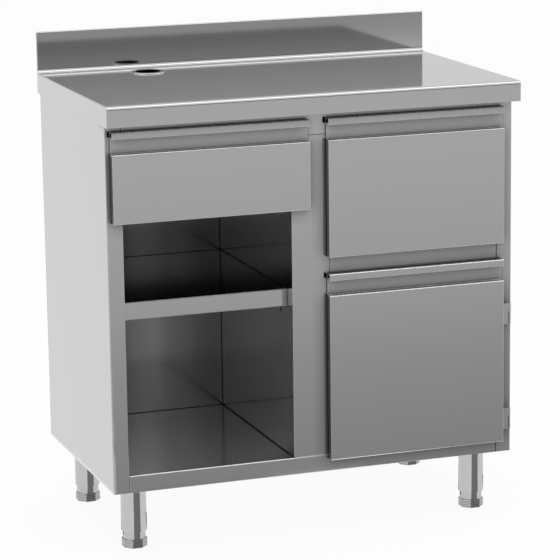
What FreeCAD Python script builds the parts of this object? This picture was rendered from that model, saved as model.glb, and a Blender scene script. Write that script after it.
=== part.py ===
import FreeCAD, Part

import math
import os
from collections import namedtuple

import Sketcher

# Waiter service station in folded stainless steel sheet.
# The frame is +X to the right, +Y to the rear and +Z up, in millimetres. The origin is on the floor, under
# the middle of the worktop. Every piece is a body of its own, and the sheet "Sizes" drives them all.

SIZES = (
    # Overall form
    ("worktop_width", 1000.0, "worktop, side to side"),
    ("worktop_depth", 600.0, "worktop, front to rear"),
    ("worktop_height", 1050.0, "floor to worktop surface"),
    ("upstand_height", 100.0, "upstand above the worktop"),
    ("upstand_thickness", 6.0, "folded upstand, front face to rear face"),
    ("leg_height", 151.0, "floor to the underside of the cabinet"),
    # Sheet and bends
    ("worktop_sheet", 1.5, "worktop sheet"),
    ("panel_sheet", 1.0, "sheet of the cabinet, shelf, drawers and door"),
    ("bend_radius", 1.0, "inside radius of a bend"),
    ("butt_gap", 0.3, "gap between the edges of two pieces that meet end to end"),
    # Worktop
    ("worktop_edge", 48.0, "depth of the folded worktop edge"),
    ("nose_radius", 8.0, "rounded front nose of the worktop"),
    ("cove_radius", 10.0, "round corner between worktop and upstand"),
    ("worktop_side_radius", 2.0, "rounded side edges of the worktop"),
    ("worktop_return", 15.0, "inward return under the front edge"),
    ("stiffener_depth", 25.0, "hat channels under the worktop"),
    ("stiffener_web", 60.0, "flat underside of a hat channel"),
    ("stiffener_lip", 20.0, "lips that are welded to the worktop"),
    ("front_stiffener_y", -170.0, "middle of the front stiffener"),
    ("rear_stiffener_y", 90.0, "middle of the rear stiffener"),
    # Cable grommet
    ("cable_from_left", 250.0, "left end of the worktop to the grommet"),
    ("cable_from_rear", 95.0, "rear edge of the worktop to the grommet"),
    ("cable_radius", 30.0, "clear hole for cables"),
    ("grommet_wall", 4.0, "wall of the grommet sleeve"),
    ("grommet_rim", 8.5, "rim beyond the sleeve"),
    ("grommet_rim_height", 2.6, "rim above the worktop"),
    ("grommet_rim_radius", 2.1, "rounded outer edge of the rim"),
    ("grommet_length", 20.0, "sleeve below the worktop surface"),
    ("cutout_clearance", 0.3, "grommet sleeve to its hole, on the radius"),
    # Cabinet
    ("side_overhang", 5.5, "worktop beyond the side panels"),
    ("frame_setback", 40.0, "worktop front edge to the cabinet face"),
    ("rear_setback", 4.0, "worktop rear edge to the cabinet rear"),
    ("post_width", 38.0, "front flange of a side panel"),
    ("post_return", 18.0, "return behind a front flange"),
    ("rear_flange", 20.0, "rear flange of a side panel"),
    ("top_flange", 25.0, "top flange of a side panel"),
    ("bottom_flange", 16.0, "flange of a side panel under the bottom skirt"),
    ("back_inset", 28.0, "cabinet rear to the inner face of the back panel"),
    ("bottom_skirt", 40.0, "skirt under the cabinet floor"),
    ("niche_width", 401.0, "left post to mullion"),
    ("mullion_width", 92.5, "front face of the centre divider"),
    ("divider_flange", 20.0, "rear flanges of the centre divider"),
    ("top_rail_drop", 52.0, "top rail below the worktop edge"),
    ("rail_flange", 20.0, "flanges of the cross rails"),
    ("rail_overlap", 5.0, "cross rail behind the drawer and the door"),
    ("rear_rail_height", 60.0, "upright leaf of the top rear rail"),
    ("rear_rail_flange", 30.0, "top leaf of the top rear rail"),
    # Shelf
    ("shelf_level", 397.5, "cabinet floor to shelf surface"),
    ("shelf_edge", 40.5, "depth of the folded shelf edge"),
    ("shelf_setback", 37.0, "cabinet face to shelf front"),
    ("clip_sheet", 1.5, "sheet of a shelf clip"),
    ("clip_leaf", 22.0, "leaves of a shelf clip"),
    ("clip_length", 30.0, "shelf clip, front to rear"),
    ("clip_inset", 45.0, "shelf end to the nearer end of a clip"),
    # Drawer fronts and door
    ("front_thickness", 20.0, "front face to the cabinet face"),
    ("front_gap", 2.0, "gap behind a front, filled by the buffers"),
    ("lip_height", 15.5, "lip of the handle fold"),
    ("grip_height", 35.0, "open slot below the lip"),
    ("top_reveal", 13.5, "worktop edge to the drawer fronts"),
    ("left_front_height", 208.0, "left drawer front with its lip"),
    ("right_front_height", 324.0, "right drawer front with its lip"),
    ("front_spacing", 39.5, "right drawer front to the door"),
    ("door_drop", 10.0, "door below the cabinet floor"),
    ("post_overlap_left", 27.0, "left drawer front over the left post"),
    ("mullion_overlap_left", 40.0, "left drawer front over the mullion"),
    ("mullion_overlap_right", 8.0, "right fronts over the mullion"),
    ("post_overlap_right", 11.0, "right fronts over the right post"),
    ("liner_depth", 15.0, "flanges of the liner inside a front"),
    ("buffer_radius", 3.0, "rubber buffer behind a front"),
    ("buffer_inset", 25.0, "end of a front to its buffers"),
    ("rest_gap", 0.3, "buffer to the cabinet face, and other resting gaps"),
    # Drawer boxes and runners
    ("box_depth", 500.0, "drawer box, front to rear"),
    ("box_rise", 20.0, "bottom of a front to its drawer box"),
    ("left_box_height", 125.0, "left drawer box"),
    ("right_box_height", 220.0, "right drawer box"),
    ("hem_height", 10.0, "doubled hem along the top of a drawer box's sides"),
    ("runner_level", 60.0, "bottom of a drawer box to the runner axis"),
    ("runner_length", 490.0, "closed runner"),
    ("runner_thickness", 13.0, "cabinet to drawer box"),
    ("runner_height", 45.0, "outer member of a runner"),
    ("runner_sheet", 1.2, "sheet of a runner"),
    ("runner_gap", 0.4, "running gap between runner flanges"),
    ("outer_flange", 10.5, "flanges of the outer member"),
    ("middle_start", 2.6, "cabinet to the middle member"),
    ("middle_flange", 8.4, "flanges of the middle member"),
    ("inner_flange", 8.0, "flanges of the inner member"),
    ("bracket_web", 60.0, "flat face of a runner bracket"),
    ("bracket_lip", 12.0, "lips of a runner bracket"),
    # Hinges
    ("leaf_width", 12.0, "hinge leaf on the side of the door"),
    ("hinge_height", 50.0, "whole hinge"),
    ("arm_height", 20.0, "arm of the leaf above the frame knuckle"),
    ("knuckle_radius", 3.8, "round of a hinge knuckle"),
    ("knuckle_gap", 0.4, "hinge leaf to the frame knuckle"),
    ("pin_radius", 2.0, "hinge pin"),
    ("pin_clearance", 0.05, "pin in the hinge arm, on the radius"),
    ("pin_inset", 3.0, "ends of the pin inside the hinge"),
    ("upper_hinge_drop", 107.0, "top of the door to the upper hinge"),
    ("lower_hinge_rise", 30.0, "bottom of the door to the lower hinge"),
    # Catch
    ("catch_width", 40.0, "magnetic catch"),
    ("catch_depth", 15.0, "magnetic catch, front to rear"),
    ("catch_height", 16.0, "magnetic catch"),
    ("catch_inset", 30.0, "mullion to the catch"),
    ("catch_plate", 1.0, "plate that the magnet holds"),
    # Legs and feet
    ("leg_from_side", 68.5, "outer face of a side panel to the middle of a leg"),
    ("leg_from_face", 78.0, "front or rear face of the cabinet to the middle of a leg"),
    ("leg_radius", 30.0, "leg tube"),
    ("leg_wall", 1.5, "wall of the leg tube"),
    ("leg_bottom", 40.0, "floor to the end of the leg tube"),
    ("channel_depth", 30.0, "channels that carry the legs"),
    ("channel_web", 94.0, "flat underside of a leg channel"),
    ("channel_lip", 14.0, "lips of a leg channel"),
    ("plate_side", 86.0, "square leg plate"),
    ("plate_thickness", 3.0, "leg plate"),
    ("plate_bolts", 33.0, "middle of a leg plate to its bolts"),
    ("foot_radius", 30.0, "octagonal foot, across its corners"),
    ("foot_height", 20.0, "octagonal foot"),
    ("foot_chamfer", 1.0, "chamfer under the foot"),
    ("foot_groove", 1.2, "grooves between the ribs of the foot, as high as they are deep"),
    ("neck_radius", 26.7, "round neck of the foot"),
    ("neck_height", 45.7, "neck above the octagon"),
    ("insert_height", 24.0, "threaded insert in a leg"),
    ("stud_radius", 8.0, "threaded stud of the foot"),
    ("stud_top", 130.0, "floor to the top of the stud"),
    # Fasteners
    ("screw_radius", 2.0, "small screws"),
    ("screw_head", 3.6, "head of a small screw"),
    ("screw_head_height", 1.0, "head of a small screw"),
    ("bolt_radius", 3.0, "bolts"),
    ("bolt_head", 5.6, "hexagon head of a bolt, across its corners"),
    ("bolt_head_height", 3.0, "head of a bolt"),
    ("hole_clearance", 0.2, "fastener in a plain hole, on the radius"),
    ("thread_clearance", 0.05, "fastener or stud in its thread, on the radius"),
)

DOC = FreeCAD.newDocument("waiter_station")
NODES = []


class Size:
    """A length, kept as its value and as the sheet formula that gives it."""

    def __init__(self, value, formula):
        self.value = float(value)
        self.formula = formula

    @staticmethod
    def of(number):
        """Take a size as it is, and give a plain number a formula."""
        if isinstance(number, Size):
            return number
        return Size(number, "(%r)" % float(number))

    def __add__(self, other):
        other = Size.of(other)
        return Size(self.value + other.value, "(%s + %s)" % (self.formula, other.formula))

    def __sub__(self, other):
        other = Size.of(other)
        return Size(self.value - other.value, "(%s - %s)" % (self.formula, other.formula))

    def __mul__(self, other):
        other = Size.of(other)
        return Size(self.value * other.value, "%s * %s" % (self.formula, other.formula))

    def __truediv__(self, other):
        other = Size.of(other)
        return Size(self.value / other.value, "%s / %s" % (self.formula, other.formula))

    def __neg__(self):
        return Size(-self.value, "(0 - %s)" % self.formula)


class SizeSheet:
    """The spreadsheet of driving dimensions, one attribute for each."""

    def __init__(self, rows):
        sheet = DOC.addObject("Spreadsheet::Sheet", "Sizes")
        for number, (name, value, meaning) in enumerate(rows, start=1):
            sheet.set("A%d" % number, name)
            sheet.set("B%d" % number, "%g" % value)
            sheet.set("C%d" % number, meaning)
            sheet.setAlias("B%d" % number, name)
        DOC.recompute()
        for name, _value, _meaning in rows:
            setattr(self, name, Size(sheet.get(name), "Sizes." + name))


s = SizeSheet(SIZES)
ZERO = Size(0.0, "0.0")

# Planes that several pieces share
FRONT_EDGE = -s.worktop_depth / 2
REAR_EDGE = s.worktop_depth / 2
SIDE_EDGE = s.worktop_width / 2
WORKTOP_UNDER = s.worktop_height - s.worktop_sheet
EDGE_BOTTOM = s.worktop_height - s.worktop_edge
SIDE_FACE = SIDE_EDGE - s.side_overhang
SIDE_INNER = SIDE_FACE - s.panel_sheet
FRAME_Y = FRONT_EDGE + s.frame_setback
CABINET_REAR = REAR_EDGE - s.rear_setback
REAR_INNER = CABINET_REAR - s.panel_sheet
REAR_BEND_START = REAR_INNER - s.bend_radius
BACK_Y = CABINET_REAR - s.back_inset
CABINET_BOTTOM = s.leg_height
FLOOR_Z = CABINET_BOTTOM + s.bottom_skirt
CABINET_TOP = WORKTOP_UNDER - s.stiffener_depth
POST_X = SIDE_FACE - s.post_width
POST_BACK = FRAME_Y + s.post_return
MULLION_LEFT = -POST_X + s.niche_width
MULLION_RIGHT = MULLION_LEFT + s.mullion_width
TOP_RAIL_BOTTOM = EDGE_BOTTOM - s.top_rail_drop
FRONT_Y = FRAME_Y - s.front_thickness
FRONT_BACK = FRAME_Y - s.front_gap
SHELF_TOP = FLOOR_Z + s.shelf_level
SHELF_BOTTOM = SHELF_TOP - s.shelf_edge
SHELF_FRONT = FRAME_Y + s.shelf_setback
OUTSIDE_BEND = s.bend_radius + s.panel_sheet

# The three fronts, by their edges
Front = namedtuple("Front", "name left right bottom top")
DRAWER_TOP = EDGE_BOTTOM - s.top_reveal
LEFT_FRONT = Front(
    "left_drawer",
    -POST_X - s.post_overlap_left,
    MULLION_LEFT + s.mullion_overlap_left,
    DRAWER_TOP - s.left_front_height,
    DRAWER_TOP,
)
RIGHT_FRONT = Front(
    "right_drawer",
    MULLION_RIGHT - s.mullion_overlap_right,
    POST_X + s.post_overlap_right,
    DRAWER_TOP - s.right_front_height,
    DRAWER_TOP,
)
DOOR_FRONT = Front(
    "door",
    RIGHT_FRONT.left,
    RIGHT_FRONT.right,
    FLOOR_Z - s.door_drop,
    RIGHT_FRONT.bottom - s.front_spacing,
)

# The two drawer boxes, by the opening that they run in and their heights
Drawer = namedtuple("Drawer", "front left right bottom top runner")


def drawer_for(front, left, right, height):
    """Work out the drawer box and runner level behind a front."""
    bottom = front.bottom + s.box_rise
    return Drawer(front, left, right, bottom, bottom + height, bottom + s.runner_level)


LEFT_DRAWER = drawer_for(LEFT_FRONT, -POST_X, MULLION_LEFT, s.left_box_height)
RIGHT_DRAWER = drawer_for(RIGHT_FRONT, MULLION_RIGHT, POST_X, s.right_box_height)

# Where the two screws of a hinge part stand, as shares of its height
SCREW_SHARES = (0.25, 0.75)
# How much of a sheet's thickness the round of a hem takes
HEM_ROUNDING = 0.9

# Each view looks along one axis: the plane that it draws on, and which axes its two coordinates are
View = namedtuple("View", "plane across up along")
VIEWS = {
    "plan": View("XY_Plane", "x", "y", "z"),
    "side": View("YZ_Plane", "y", "z", "x"),
    "front": View("XZ_Plane", "x", "z", "y"),
}


def recompute(body):
    """Recompute the document, and stop if the body's last feature failed."""
    DOC.recompute()
    if body.Tip.Shape.isNull() or "Invalid" in body.Tip.State:
        raise RuntimeError("%s failed in %s" % (body.Tip.Name, body.Label))


def bind(target, name, size):
    """Drive one property of an object by a size."""
    target.setExpression(name, Size.of(size).formula)


def rectangle(left, right, low, high):
    """The four corners of a rectangle, anticlockwise."""
    return [(left, low), (right, low), (right, high), (left, high)]


def shifted(position, amount, direction):
    """Move a position by an amount in direction -1, 0 or 1."""
    if direction > 0:
        return position + amount
    if direction < 0:
        return position - amount
    return position


def heading(start, end):
    """The direction of an axis-aligned run, as -1, 0 or 1 on each axis."""
    across = end[0].value - start[0].value
    up = end[1].value - start[1].value
    if abs(across) > abs(up):
        return (int(math.copysign(1, across)), 0)
    return (0, int(math.copysign(1, up)))


def fold(path, sheet, material):
    """Close the outline of a folded sheet.

    The path is one face of the sheet, with right-angled bends, and the sheet lies on its right (material 1)
    or left (material -1). Returns the outline and its bend corners: those inside and those outside a bend.
    """
    runs = [heading(start, end) for start, end in zip(path, path[1:])]
    normals = [(material * run[1], -material * run[0]) for run in runs]
    other_face = []
    inside = []
    outside = []
    for index, (across, up) in enumerate(path):
        beside = normals[max(index - 1, 0):index + 1]
        corner = (
            shifted(across, sheet, sum(normal[0] for normal in beside)),
            shifted(up, sheet, sum(normal[1] for normal in beside)),
        )
        other_face.append(corner)
        if len(beside) == 2:
            before, after = runs[index - 1], runs[index]
            turn = before[0] * after[1] - before[1] * after[0]
            towards_sheet = turn * material < 0
            outside.append((across, up) if towards_sheet else corner)
            inside.append(corner if towards_sheet else (across, up))
    return path + other_face[::-1], inside, outside


def inset(outline, amount):
    """Move every edge of an anticlockwise, right-angled outline inwards."""
    count = len(outline)
    corners = []
    for index, (across, up) in enumerate(outline):
        before = heading(outline[index - 1], outline[index])
        after = heading(outline[index], outline[(index + 1) % count])
        corners.append((
            shifted(across, amount, -before[1] - after[1]),
            shifted(up, amount, before[0] + after[0]),
        ))
    return corners


def hat(middle, web, lip, open_level, web_level):
    """The path of a hat channel: two lips at the open level, and the web between them."""
    half = web / 2
    return [
        (middle - half - lip, open_level),
        (middle - half, open_level),
        (middle - half, web_level),
        (middle + half, web_level),
        (middle + half, open_level),
        (middle + half + lip, open_level),
    ]


def mirrored(path):
    """Mirror an outline or path in the middle plane of the station."""
    return [(-across, up) for across, up in path]


def polygon(radius, sides, turned):
    """A regular polygon about the origin, from its corner radius."""
    step = 360.0 / sides
    corners = []
    for index in range(sides):
        angle = math.radians(turned + index * step)
        corners.append((radius * math.cos(angle), radius * math.sin(angle)))
    return corners


class Piece:
    """One sub-part, built up as a PartDesign body."""

    def __init__(self, label, is_node=True):
        self.body = DOC.addObject("PartDesign::Body", label)
        self.body.Label = label
        if is_node:
            NODES.append(self.body)

    def plane(self, role):
        """Find one of the body's own origin planes."""
        return next(item for item in self.body.Origin.OriginFeatures if item.Role == role)

    def sketch(self, view, station, outline=None, circles=()):
        """Draw a closed outline, and circles, at a station along the view."""
        sketch = self.body.newObject("Sketcher::SketchObject", "outline")
        sketch.AttachmentSupport = [(self.plane(VIEWS[view].plane), "")]
        sketch.MapMode = "FlatFace"
        bind(sketch, "AttachmentOffset.Base.z", station)
        if outline:
            draw_outline(sketch, outline)
        for across, up, radius in circles:
            draw_circle(sketch, across, up, radius)
        return sketch

    def grow(self, view, low, high, outline=None, circles=()):
        """Add a prism between two stations."""
        station = -high if view == "front" else low
        pad = self.body.newObject("PartDesign::Pad", "pad")
        pad.Profile = self.sketch(view, station, outline, circles)
        bind(pad, "Length", high - low)
        recompute(self.body)

    def cut(self, view, low, high, outline=None, circles=()):
        """Take away a prism between two stations."""
        before = self.body.Shape.Volume
        station = -low if view == "front" else high
        pocket = self.body.newObject("PartDesign::Pocket", "pocket")
        pocket.Profile = self.sketch(view, station, outline, circles)
        bind(pocket, "Length", high - low)
        recompute(self.body)
        if not self.body.Shape.Volume < before:
            raise ValueError("a cut in %s removes nothing" % self.body.Label)

    def turn(self, outline):
        """Add a solid of revolution about the Z axis, from an outline of radius and height."""
        revolution = self.body.newObject("PartDesign::Revolution", "revolution")
        sketch = self.sketch("front", ZERO, outline)
        revolution.Profile = sketch
        revolution.ReferenceAxis = (sketch, ["V_Axis"])
        revolution.Angle = 360.0
        recompute(self.body)

    def round(self, view, corners, radius, feature="PartDesign::Fillet"):
        """Round or chamfer the edges that run along a view through the given corners."""
        tip = self.body.Tip
        names = edges_through(tip.Shape, VIEWS[view], corners)
        if not names:
            raise ValueError("no edge to round in " + self.body.Label)
        self.dress(names, radius, feature)

    def dress(self, names, radius, feature="PartDesign::Fillet"):
        """Round or chamfer named edges."""
        tip = self.body.Tip
        dressed = self.body.newObject(feature, "rounded")
        dressed.Base = (tip, names)
        bind(dressed, "Size" if feature == "PartDesign::Chamfer" else "Radius", radius)
        recompute(self.body)

    def place(self, across, depth, height=ZERO):
        """Put the body's own origin somewhere else in the station."""
        bind(self.body, "Placement.Base.x", across)
        bind(self.body, "Placement.Base.y", depth)
        bind(self.body, "Placement.Base.z", height)


def draw_outline(sketch, corners):
    """Draw a closed outline with every corner held at its distances from the origin."""
    first = sketch.GeometryCount
    count = len(corners)
    points = [FreeCAD.Vector(across.value, up.value, 0) for across, up in corners]
    lines = [Part.LineSegment(points[index], points[(index + 1) % count]) for index in range(count)]
    sketch.addGeometry(lines, False)
    for index in range(count):
        joined = Sketcher.Constraint("Coincident", first + index, 2, first + (index + 1) % count, 1)
        sketch.addConstraint(joined)
    for index, (across, up) in enumerate(corners):
        hold(sketch, "DistanceX", first + index, 1, across)
        hold(sketch, "DistanceY", first + index, 1, up)


def draw_circle(sketch, across, up, radius):
    """Draw a circle with its centre and radius held."""
    index = sketch.GeometryCount
    middle = FreeCAD.Vector(across.value, up.value, 0)
    sketch.addGeometry(Part.Circle(middle, FreeCAD.Vector(0, 0, 1), radius.value), False)
    hold(sketch, "DistanceX", index, 3, across)
    hold(sketch, "DistanceY", index, 3, up)
    number = sketch.addConstraint(Sketcher.Constraint("Radius", index, radius.value))
    bind(sketch, "Constraints[%d]" % number, radius)


def hold(sketch, kind, geometry, point, size):
    """Hold a point of a sketch at a distance from the sketch's origin."""
    number = sketch.addConstraint(Sketcher.Constraint(kind, -1, 1, geometry, point, size.value))
    bind(sketch, "Constraints[%d]" % number, size)


def edges_through(shape, view, corners, near=0.001):
    """Name the straight edges that run along a view and pass through its corners."""
    names = []
    for number, edge in enumerate(shape.Edges, start=1):
        start, end = edge.Vertexes[0].Point, edge.Vertexes[-1].Point
        drift = abs(getattr(start, view.across) - getattr(end, view.across))
        drift += abs(getattr(start, view.up) - getattr(end, view.up))
        if drift > near or edge.Length < near:
            continue
        for across, up in corners:
            offset = abs(getattr(start, view.across) - across.value)
            offset += abs(getattr(start, view.up) - up.value)
            if offset < near:
                names.append("Edge%d" % number)
                break
    return names


def folded(label, view, path, sheet, low, high, material=1):
    """Make a folded sheet piece: a path carried along a view, with rounded bends."""
    piece = Piece(label)
    add_folded(piece, view, path, sheet, low, high, material)
    return piece


def add_folded(piece, view, path, sheet, low, high, material=1):
    """Add a folded sheet with rounded bends to a piece."""
    outline, inside, outside = fold(path, sheet, material)
    piece.grow(view, low, high, outline)
    piece.round(view, inside, s.bend_radius)
    piece.round(view, outside, s.bend_radius + sheet)


def tray(label, view, outline, low, high, open_high):
    """Make a sheet tray: a flat sheet with a flange round it, open at its high or low side."""
    piece = Piece(label)
    piece.grow(view, low, high, outline)
    hollow = inset(outline, s.panel_sheet)
    if open_high:
        piece.cut(view, low + s.panel_sheet, high, hollow)
    else:
        piece.cut(view, low, high - s.panel_sheet, hollow)
    return piece


def copies(label, master, places):
    """Gather copies of a master piece, each at a position and a rotation, as one sub-part."""
    links = []
    for index, (across, depth, height, rotation) in enumerate(places, start=1):
        link = DOC.addObject("App::Link", "%s_%d" % (label, index))
        link.LinkedObject = master.body
        link.Placement = FreeCAD.Placement(FreeCAD.Vector(), rotation)
        bind(link, "Placement.Base.x", across)
        bind(link, "Placement.Base.y", depth)
        bind(link, "Placement.Base.z", height)
        links.append(link)
    group = DOC.addObject("Part::Compound", label)
    group.Label = label
    group.Links = links
    DOC.recompute()
    NODES.append(group)
    return group


# A fastener's head stands on +Z of its own origin. These turns point the head elsewhere.
HEAD_UP = FreeCAD.Rotation()
HEAD_DOWN = FreeCAD.Rotation(FreeCAD.Vector(1, 0, 0), 180)
HEAD_TO_REAR = FreeCAD.Rotation(FreeCAD.Vector(1, 0, 0), -90)
HEAD_TO_LEFT = FreeCAD.Rotation(FreeCAD.Vector(0, 1, 0), -90)
HEAD_TO_RIGHT = FreeCAD.Rotation(FreeCAD.Vector(0, 1, 0), 90)


def make_screw(label, length):
    """A pan-head screw, as a master for copies."""
    screw = Piece(label, is_node=False)
    screw.grow("plan", ZERO, s.screw_head_height, circles=[(ZERO, ZERO, s.screw_head)])
    screw.grow("plan", -length, ZERO, circles=[(ZERO, ZERO, s.screw_radius)])
    return screw


def make_bolt(label, length):
    """A hexagon bolt, as a master for copies."""
    bolt = Piece(label, is_node=False)
    bolt.grow("plan", ZERO, s.bolt_head_height, polygon(s.bolt_head, 6, 0.0))
    bolt.grow("plan", -length, ZERO, circles=[(ZERO, ZERO, s.bolt_radius)])
    return bolt


# ---------------------------------------------------------------------------------------------- worktop

CABLE_X = s.cable_from_left - SIDE_EDGE
CABLE_Y = REAR_EDGE - s.cable_from_rear
SLEEVE_RADIUS = s.cable_radius + s.grommet_wall
STIFFENER_LEVELS = (s.front_stiffener_y, s.rear_stiffener_y)
WORKTOP_SCREW_X = SIDE_FACE - s.top_flange / 2
WORKTOP_SCREW_PLACES = [
    (side, depth) for side in (-WORKTOP_SCREW_X, WORKTOP_SCREW_X) for depth in STIFFENER_LEVELS
]


def build_worktop():
    """The worktop: one sheet folded from the front return to the rear leaf, with closed ends."""
    upstand_y = REAR_EDGE - s.upstand_thickness
    upstand_top = s.worktop_height + s.upstand_height
    path = [
        (FRONT_EDGE + s.worktop_return, EDGE_BOTTOM),
        (FRONT_EDGE, EDGE_BOTTOM),
        (FRONT_EDGE, s.worktop_height),
        (upstand_y, s.worktop_height),
        (upstand_y, upstand_top),
        (REAR_EDGE, upstand_top),
        (REAR_EDGE, EDGE_BOTTOM),
    ]
    outline, inside, outside = fold(path, s.worktop_sheet, 1)
    piece = Piece("worktop")
    piece.grow("side", -SIDE_EDGE, SIDE_EDGE, outline)
    end_plate = path[1:]
    piece.grow("side", -SIDE_EDGE, -SIDE_EDGE + s.worktop_sheet, end_plate)
    piece.grow("side", SIDE_EDGE - s.worktop_sheet, SIDE_EDGE, end_plate)

    nose, cove = 1, 2
    piece.round("side", [outside[nose]], s.nose_radius)
    piece.round("side", [inside[nose]], s.nose_radius - s.worktop_sheet)
    piece.round("side", [inside[cove]], s.cove_radius)
    piece.round("side", [outside[cove]], s.cove_radius + s.worktop_sheet)
    upstand_bends = slice(3, 5)
    piece.round("side", outside[upstand_bends], s.bend_radius + s.worktop_sheet)
    piece.round("side", inside[upstand_bends], s.bend_radius)
    piece.dress(end_outline_edges(piece.body.Tip.Shape), s.worktop_side_radius)
    piece.round("side", [outside[0]], s.bend_radius)

    hole = (CABLE_X, CABLE_Y, SLEEVE_RADIUS + s.cutout_clearance)
    piece.cut("plan", WORKTOP_UNDER - s.worktop_sheet, s.worktop_height, circles=[hole])


def end_outline_edges(shape, near=0.001):
    """The front, top and rear edges of the worktop's two end faces."""
    names = []
    for number, edge in enumerate(shape.Edges, start=1):
        middle = edge.CenterOfMass
        on_end = abs(abs(middle.x) - SIDE_EDGE.value) < near
        if on_end and middle.z > EDGE_BOTTOM.value + near:
            names.append("Edge%d" % number)
    return names


def build_stiffeners():
    """Two hat channels under the worktop, from end to end."""
    piece = Piece("worktop_stiffeners")
    end = SIDE_EDGE - s.worktop_sheet - s.butt_gap
    for middle in STIFFENER_LEVELS:
        path = hat(middle, s.stiffener_web, s.stiffener_lip, WORKTOP_UNDER, CABINET_TOP + s.panel_sheet)
        add_folded(piece, "side", path, s.panel_sheet, -end, end)
    holes = [(across, depth, s.bolt_radius + s.hole_clearance) for across, depth in WORKTOP_SCREW_PLACES]
    piece.cut("plan", CABINET_TOP, CABINET_TOP + s.panel_sheet, circles=holes)


def build_worktop_bolts():
    """Bolts up through the side panels' top flanges into the stiffeners."""
    master = make_bolt("worktop_bolt", s.panel_sheet * 2 + s.bolt_radius * 2)
    level = CABINET_TOP - s.panel_sheet
    copies("worktop_bolts", master, [(x, y, level, HEAD_DOWN) for x, y in WORKTOP_SCREW_PLACES])


def build_grommet():
    """The cable grommet: a sleeve through the worktop with a rounded rim on it."""
    piece = Piece("cable_grommet")
    sleeve_bottom = -s.grommet_length
    rim = SLEEVE_RADIUS + s.grommet_rim
    outline = [
        (s.cable_radius, sleeve_bottom),
        (SLEEVE_RADIUS, sleeve_bottom),
        (SLEEVE_RADIUS, ZERO),
        (rim, ZERO),
        (rim, s.grommet_rim_height),
        (s.cable_radius, s.grommet_rim_height),
    ]
    piece.turn(outline)
    names = []
    for number, edge in enumerate(piece.body.Tip.Shape.Edges, start=1):
        on_top = abs(edge.CenterOfMass.z - s.grommet_rim_height.value) < 0.001
        if on_top and len(edge.Vertexes) == 1 and edge.Curve.Radius > SLEEVE_RADIUS.value:
            names.append("Edge%d" % number)
    piece.dress(names, s.grommet_rim_radius)
    piece.place(CABLE_X, CABLE_Y, s.worktop_height)


# ---------------------------------------------------------------------------------------------- cabinet

LEFT, RIGHT = -1, 1
HINGE_X = DOOR_FRONT.right + s.leaf_width + s.knuckle_gap + s.knuckle_radius
HINGE_Y = FRONT_Y + s.knuckle_radius
HINGE_LEVELS = (
    DOOR_FRONT.top - s.upper_hinge_drop - s.hinge_height,
    DOOR_FRONT.bottom + s.lower_hinge_rise,
)
KNUCKLE_HEIGHT = s.hinge_height - s.arm_height - s.rest_gap
HINGE_SCREW_LEVELS = [level + KNUCKLE_HEIGHT * share for level in HINGE_LEVELS for share in SCREW_SHARES]
RUNNER_FRONT = FRAME_Y + s.rest_gap
RUNNER_REAR = RUNNER_FRONT + s.runner_length
BRACKET_FRONT = POST_BACK + s.butt_gap
RUNNER_SCREW_Y = (BRACKET_FRONT + s.bracket_web, RUNNER_REAR - s.bracket_web)


def build_side_panel(label, side):
    """A side panel: wall, front post with its return, rear flange, and flanges at top and bottom."""
    path = [
        (SIDE_FACE - s.rear_flange, CABINET_REAR),
        (SIDE_FACE, CABINET_REAR),
        (SIDE_FACE, FRAME_Y),
        (POST_X, FRAME_Y),
        (POST_X, POST_BACK),
    ]
    top = rectangle(SIDE_FACE - s.top_flange, SIDE_INNER, POST_BACK + s.butt_gap, REAR_INNER - s.back_inset)
    bottom = rectangle(SIDE_FACE - s.bottom_flange, SIDE_INNER, POST_BACK + s.butt_gap, REAR_INNER)
    holes = [(WORKTOP_SCREW_X, depth, s.bolt_radius + s.hole_clearance) for depth in STIFFENER_LEVELS]
    if side == LEFT:
        path, top, bottom = mirrored(path), mirrored(top), mirrored(bottom)
        holes = [(-across, depth, radius) for across, depth, radius in holes]
    piece = folded(label, "plan", path, s.panel_sheet, CABINET_BOTTOM, CABINET_TOP, side)
    piece.grow("plan", CABINET_TOP - s.panel_sheet, CABINET_TOP, top)
    piece.grow("plan", CABINET_BOTTOM, CABINET_BOTTOM + s.panel_sheet, bottom)
    piece.cut("plan", CABINET_TOP - s.panel_sheet, CABINET_TOP, circles=holes)
    if side == RIGHT:
        screws = [(HINGE_X, level, s.screw_radius + s.hole_clearance) for level in HINGE_SCREW_LEVELS]
        piece.cut("front", FRAME_Y, FRAME_Y + s.panel_sheet, circles=screws)


def build_bottom_panel():
    """The cabinet floor with its skirt, notched round the posts."""
    front_half = POST_X - s.butt_gap
    outline = [
        (-front_half, FRAME_Y),
        (front_half, FRAME_Y),
        (front_half, POST_BACK + s.butt_gap),
        (SIDE_INNER, POST_BACK + s.butt_gap),
        (SIDE_INNER, REAR_BEND_START),
        (-SIDE_INNER, REAR_BEND_START),
        (-SIDE_INNER, POST_BACK + s.butt_gap),
        (-front_half, POST_BACK + s.butt_gap),
    ]
    low = CABINET_BOTTOM + s.panel_sheet
    piece = tray("bottom_panel", "plan", outline, low, FLOOR_Z, open_high=False)
    piece.grow("side", -front_half, front_half, rectangle(
        FRAME_Y, FRAME_Y + s.panel_sheet, CABINET_BOTTOM, low))
    piece.round("side", [(FRAME_Y, FLOOR_Z)], OUTSIDE_BEND)
    piece.round("side", [(FRAME_Y + s.panel_sheet, FLOOR_Z - s.panel_sheet)], s.bend_radius)


def build_back_panel():
    """The back panel: a tray whose flanges reach to the bends of the side panels."""
    outline = rectangle(-SIDE_INNER, SIDE_INNER, FLOOR_Z, CABINET_TOP - s.panel_sheet)
    tray("back_panel", "front", outline, BACK_Y, REAR_BEND_START, open_high=True)


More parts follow.
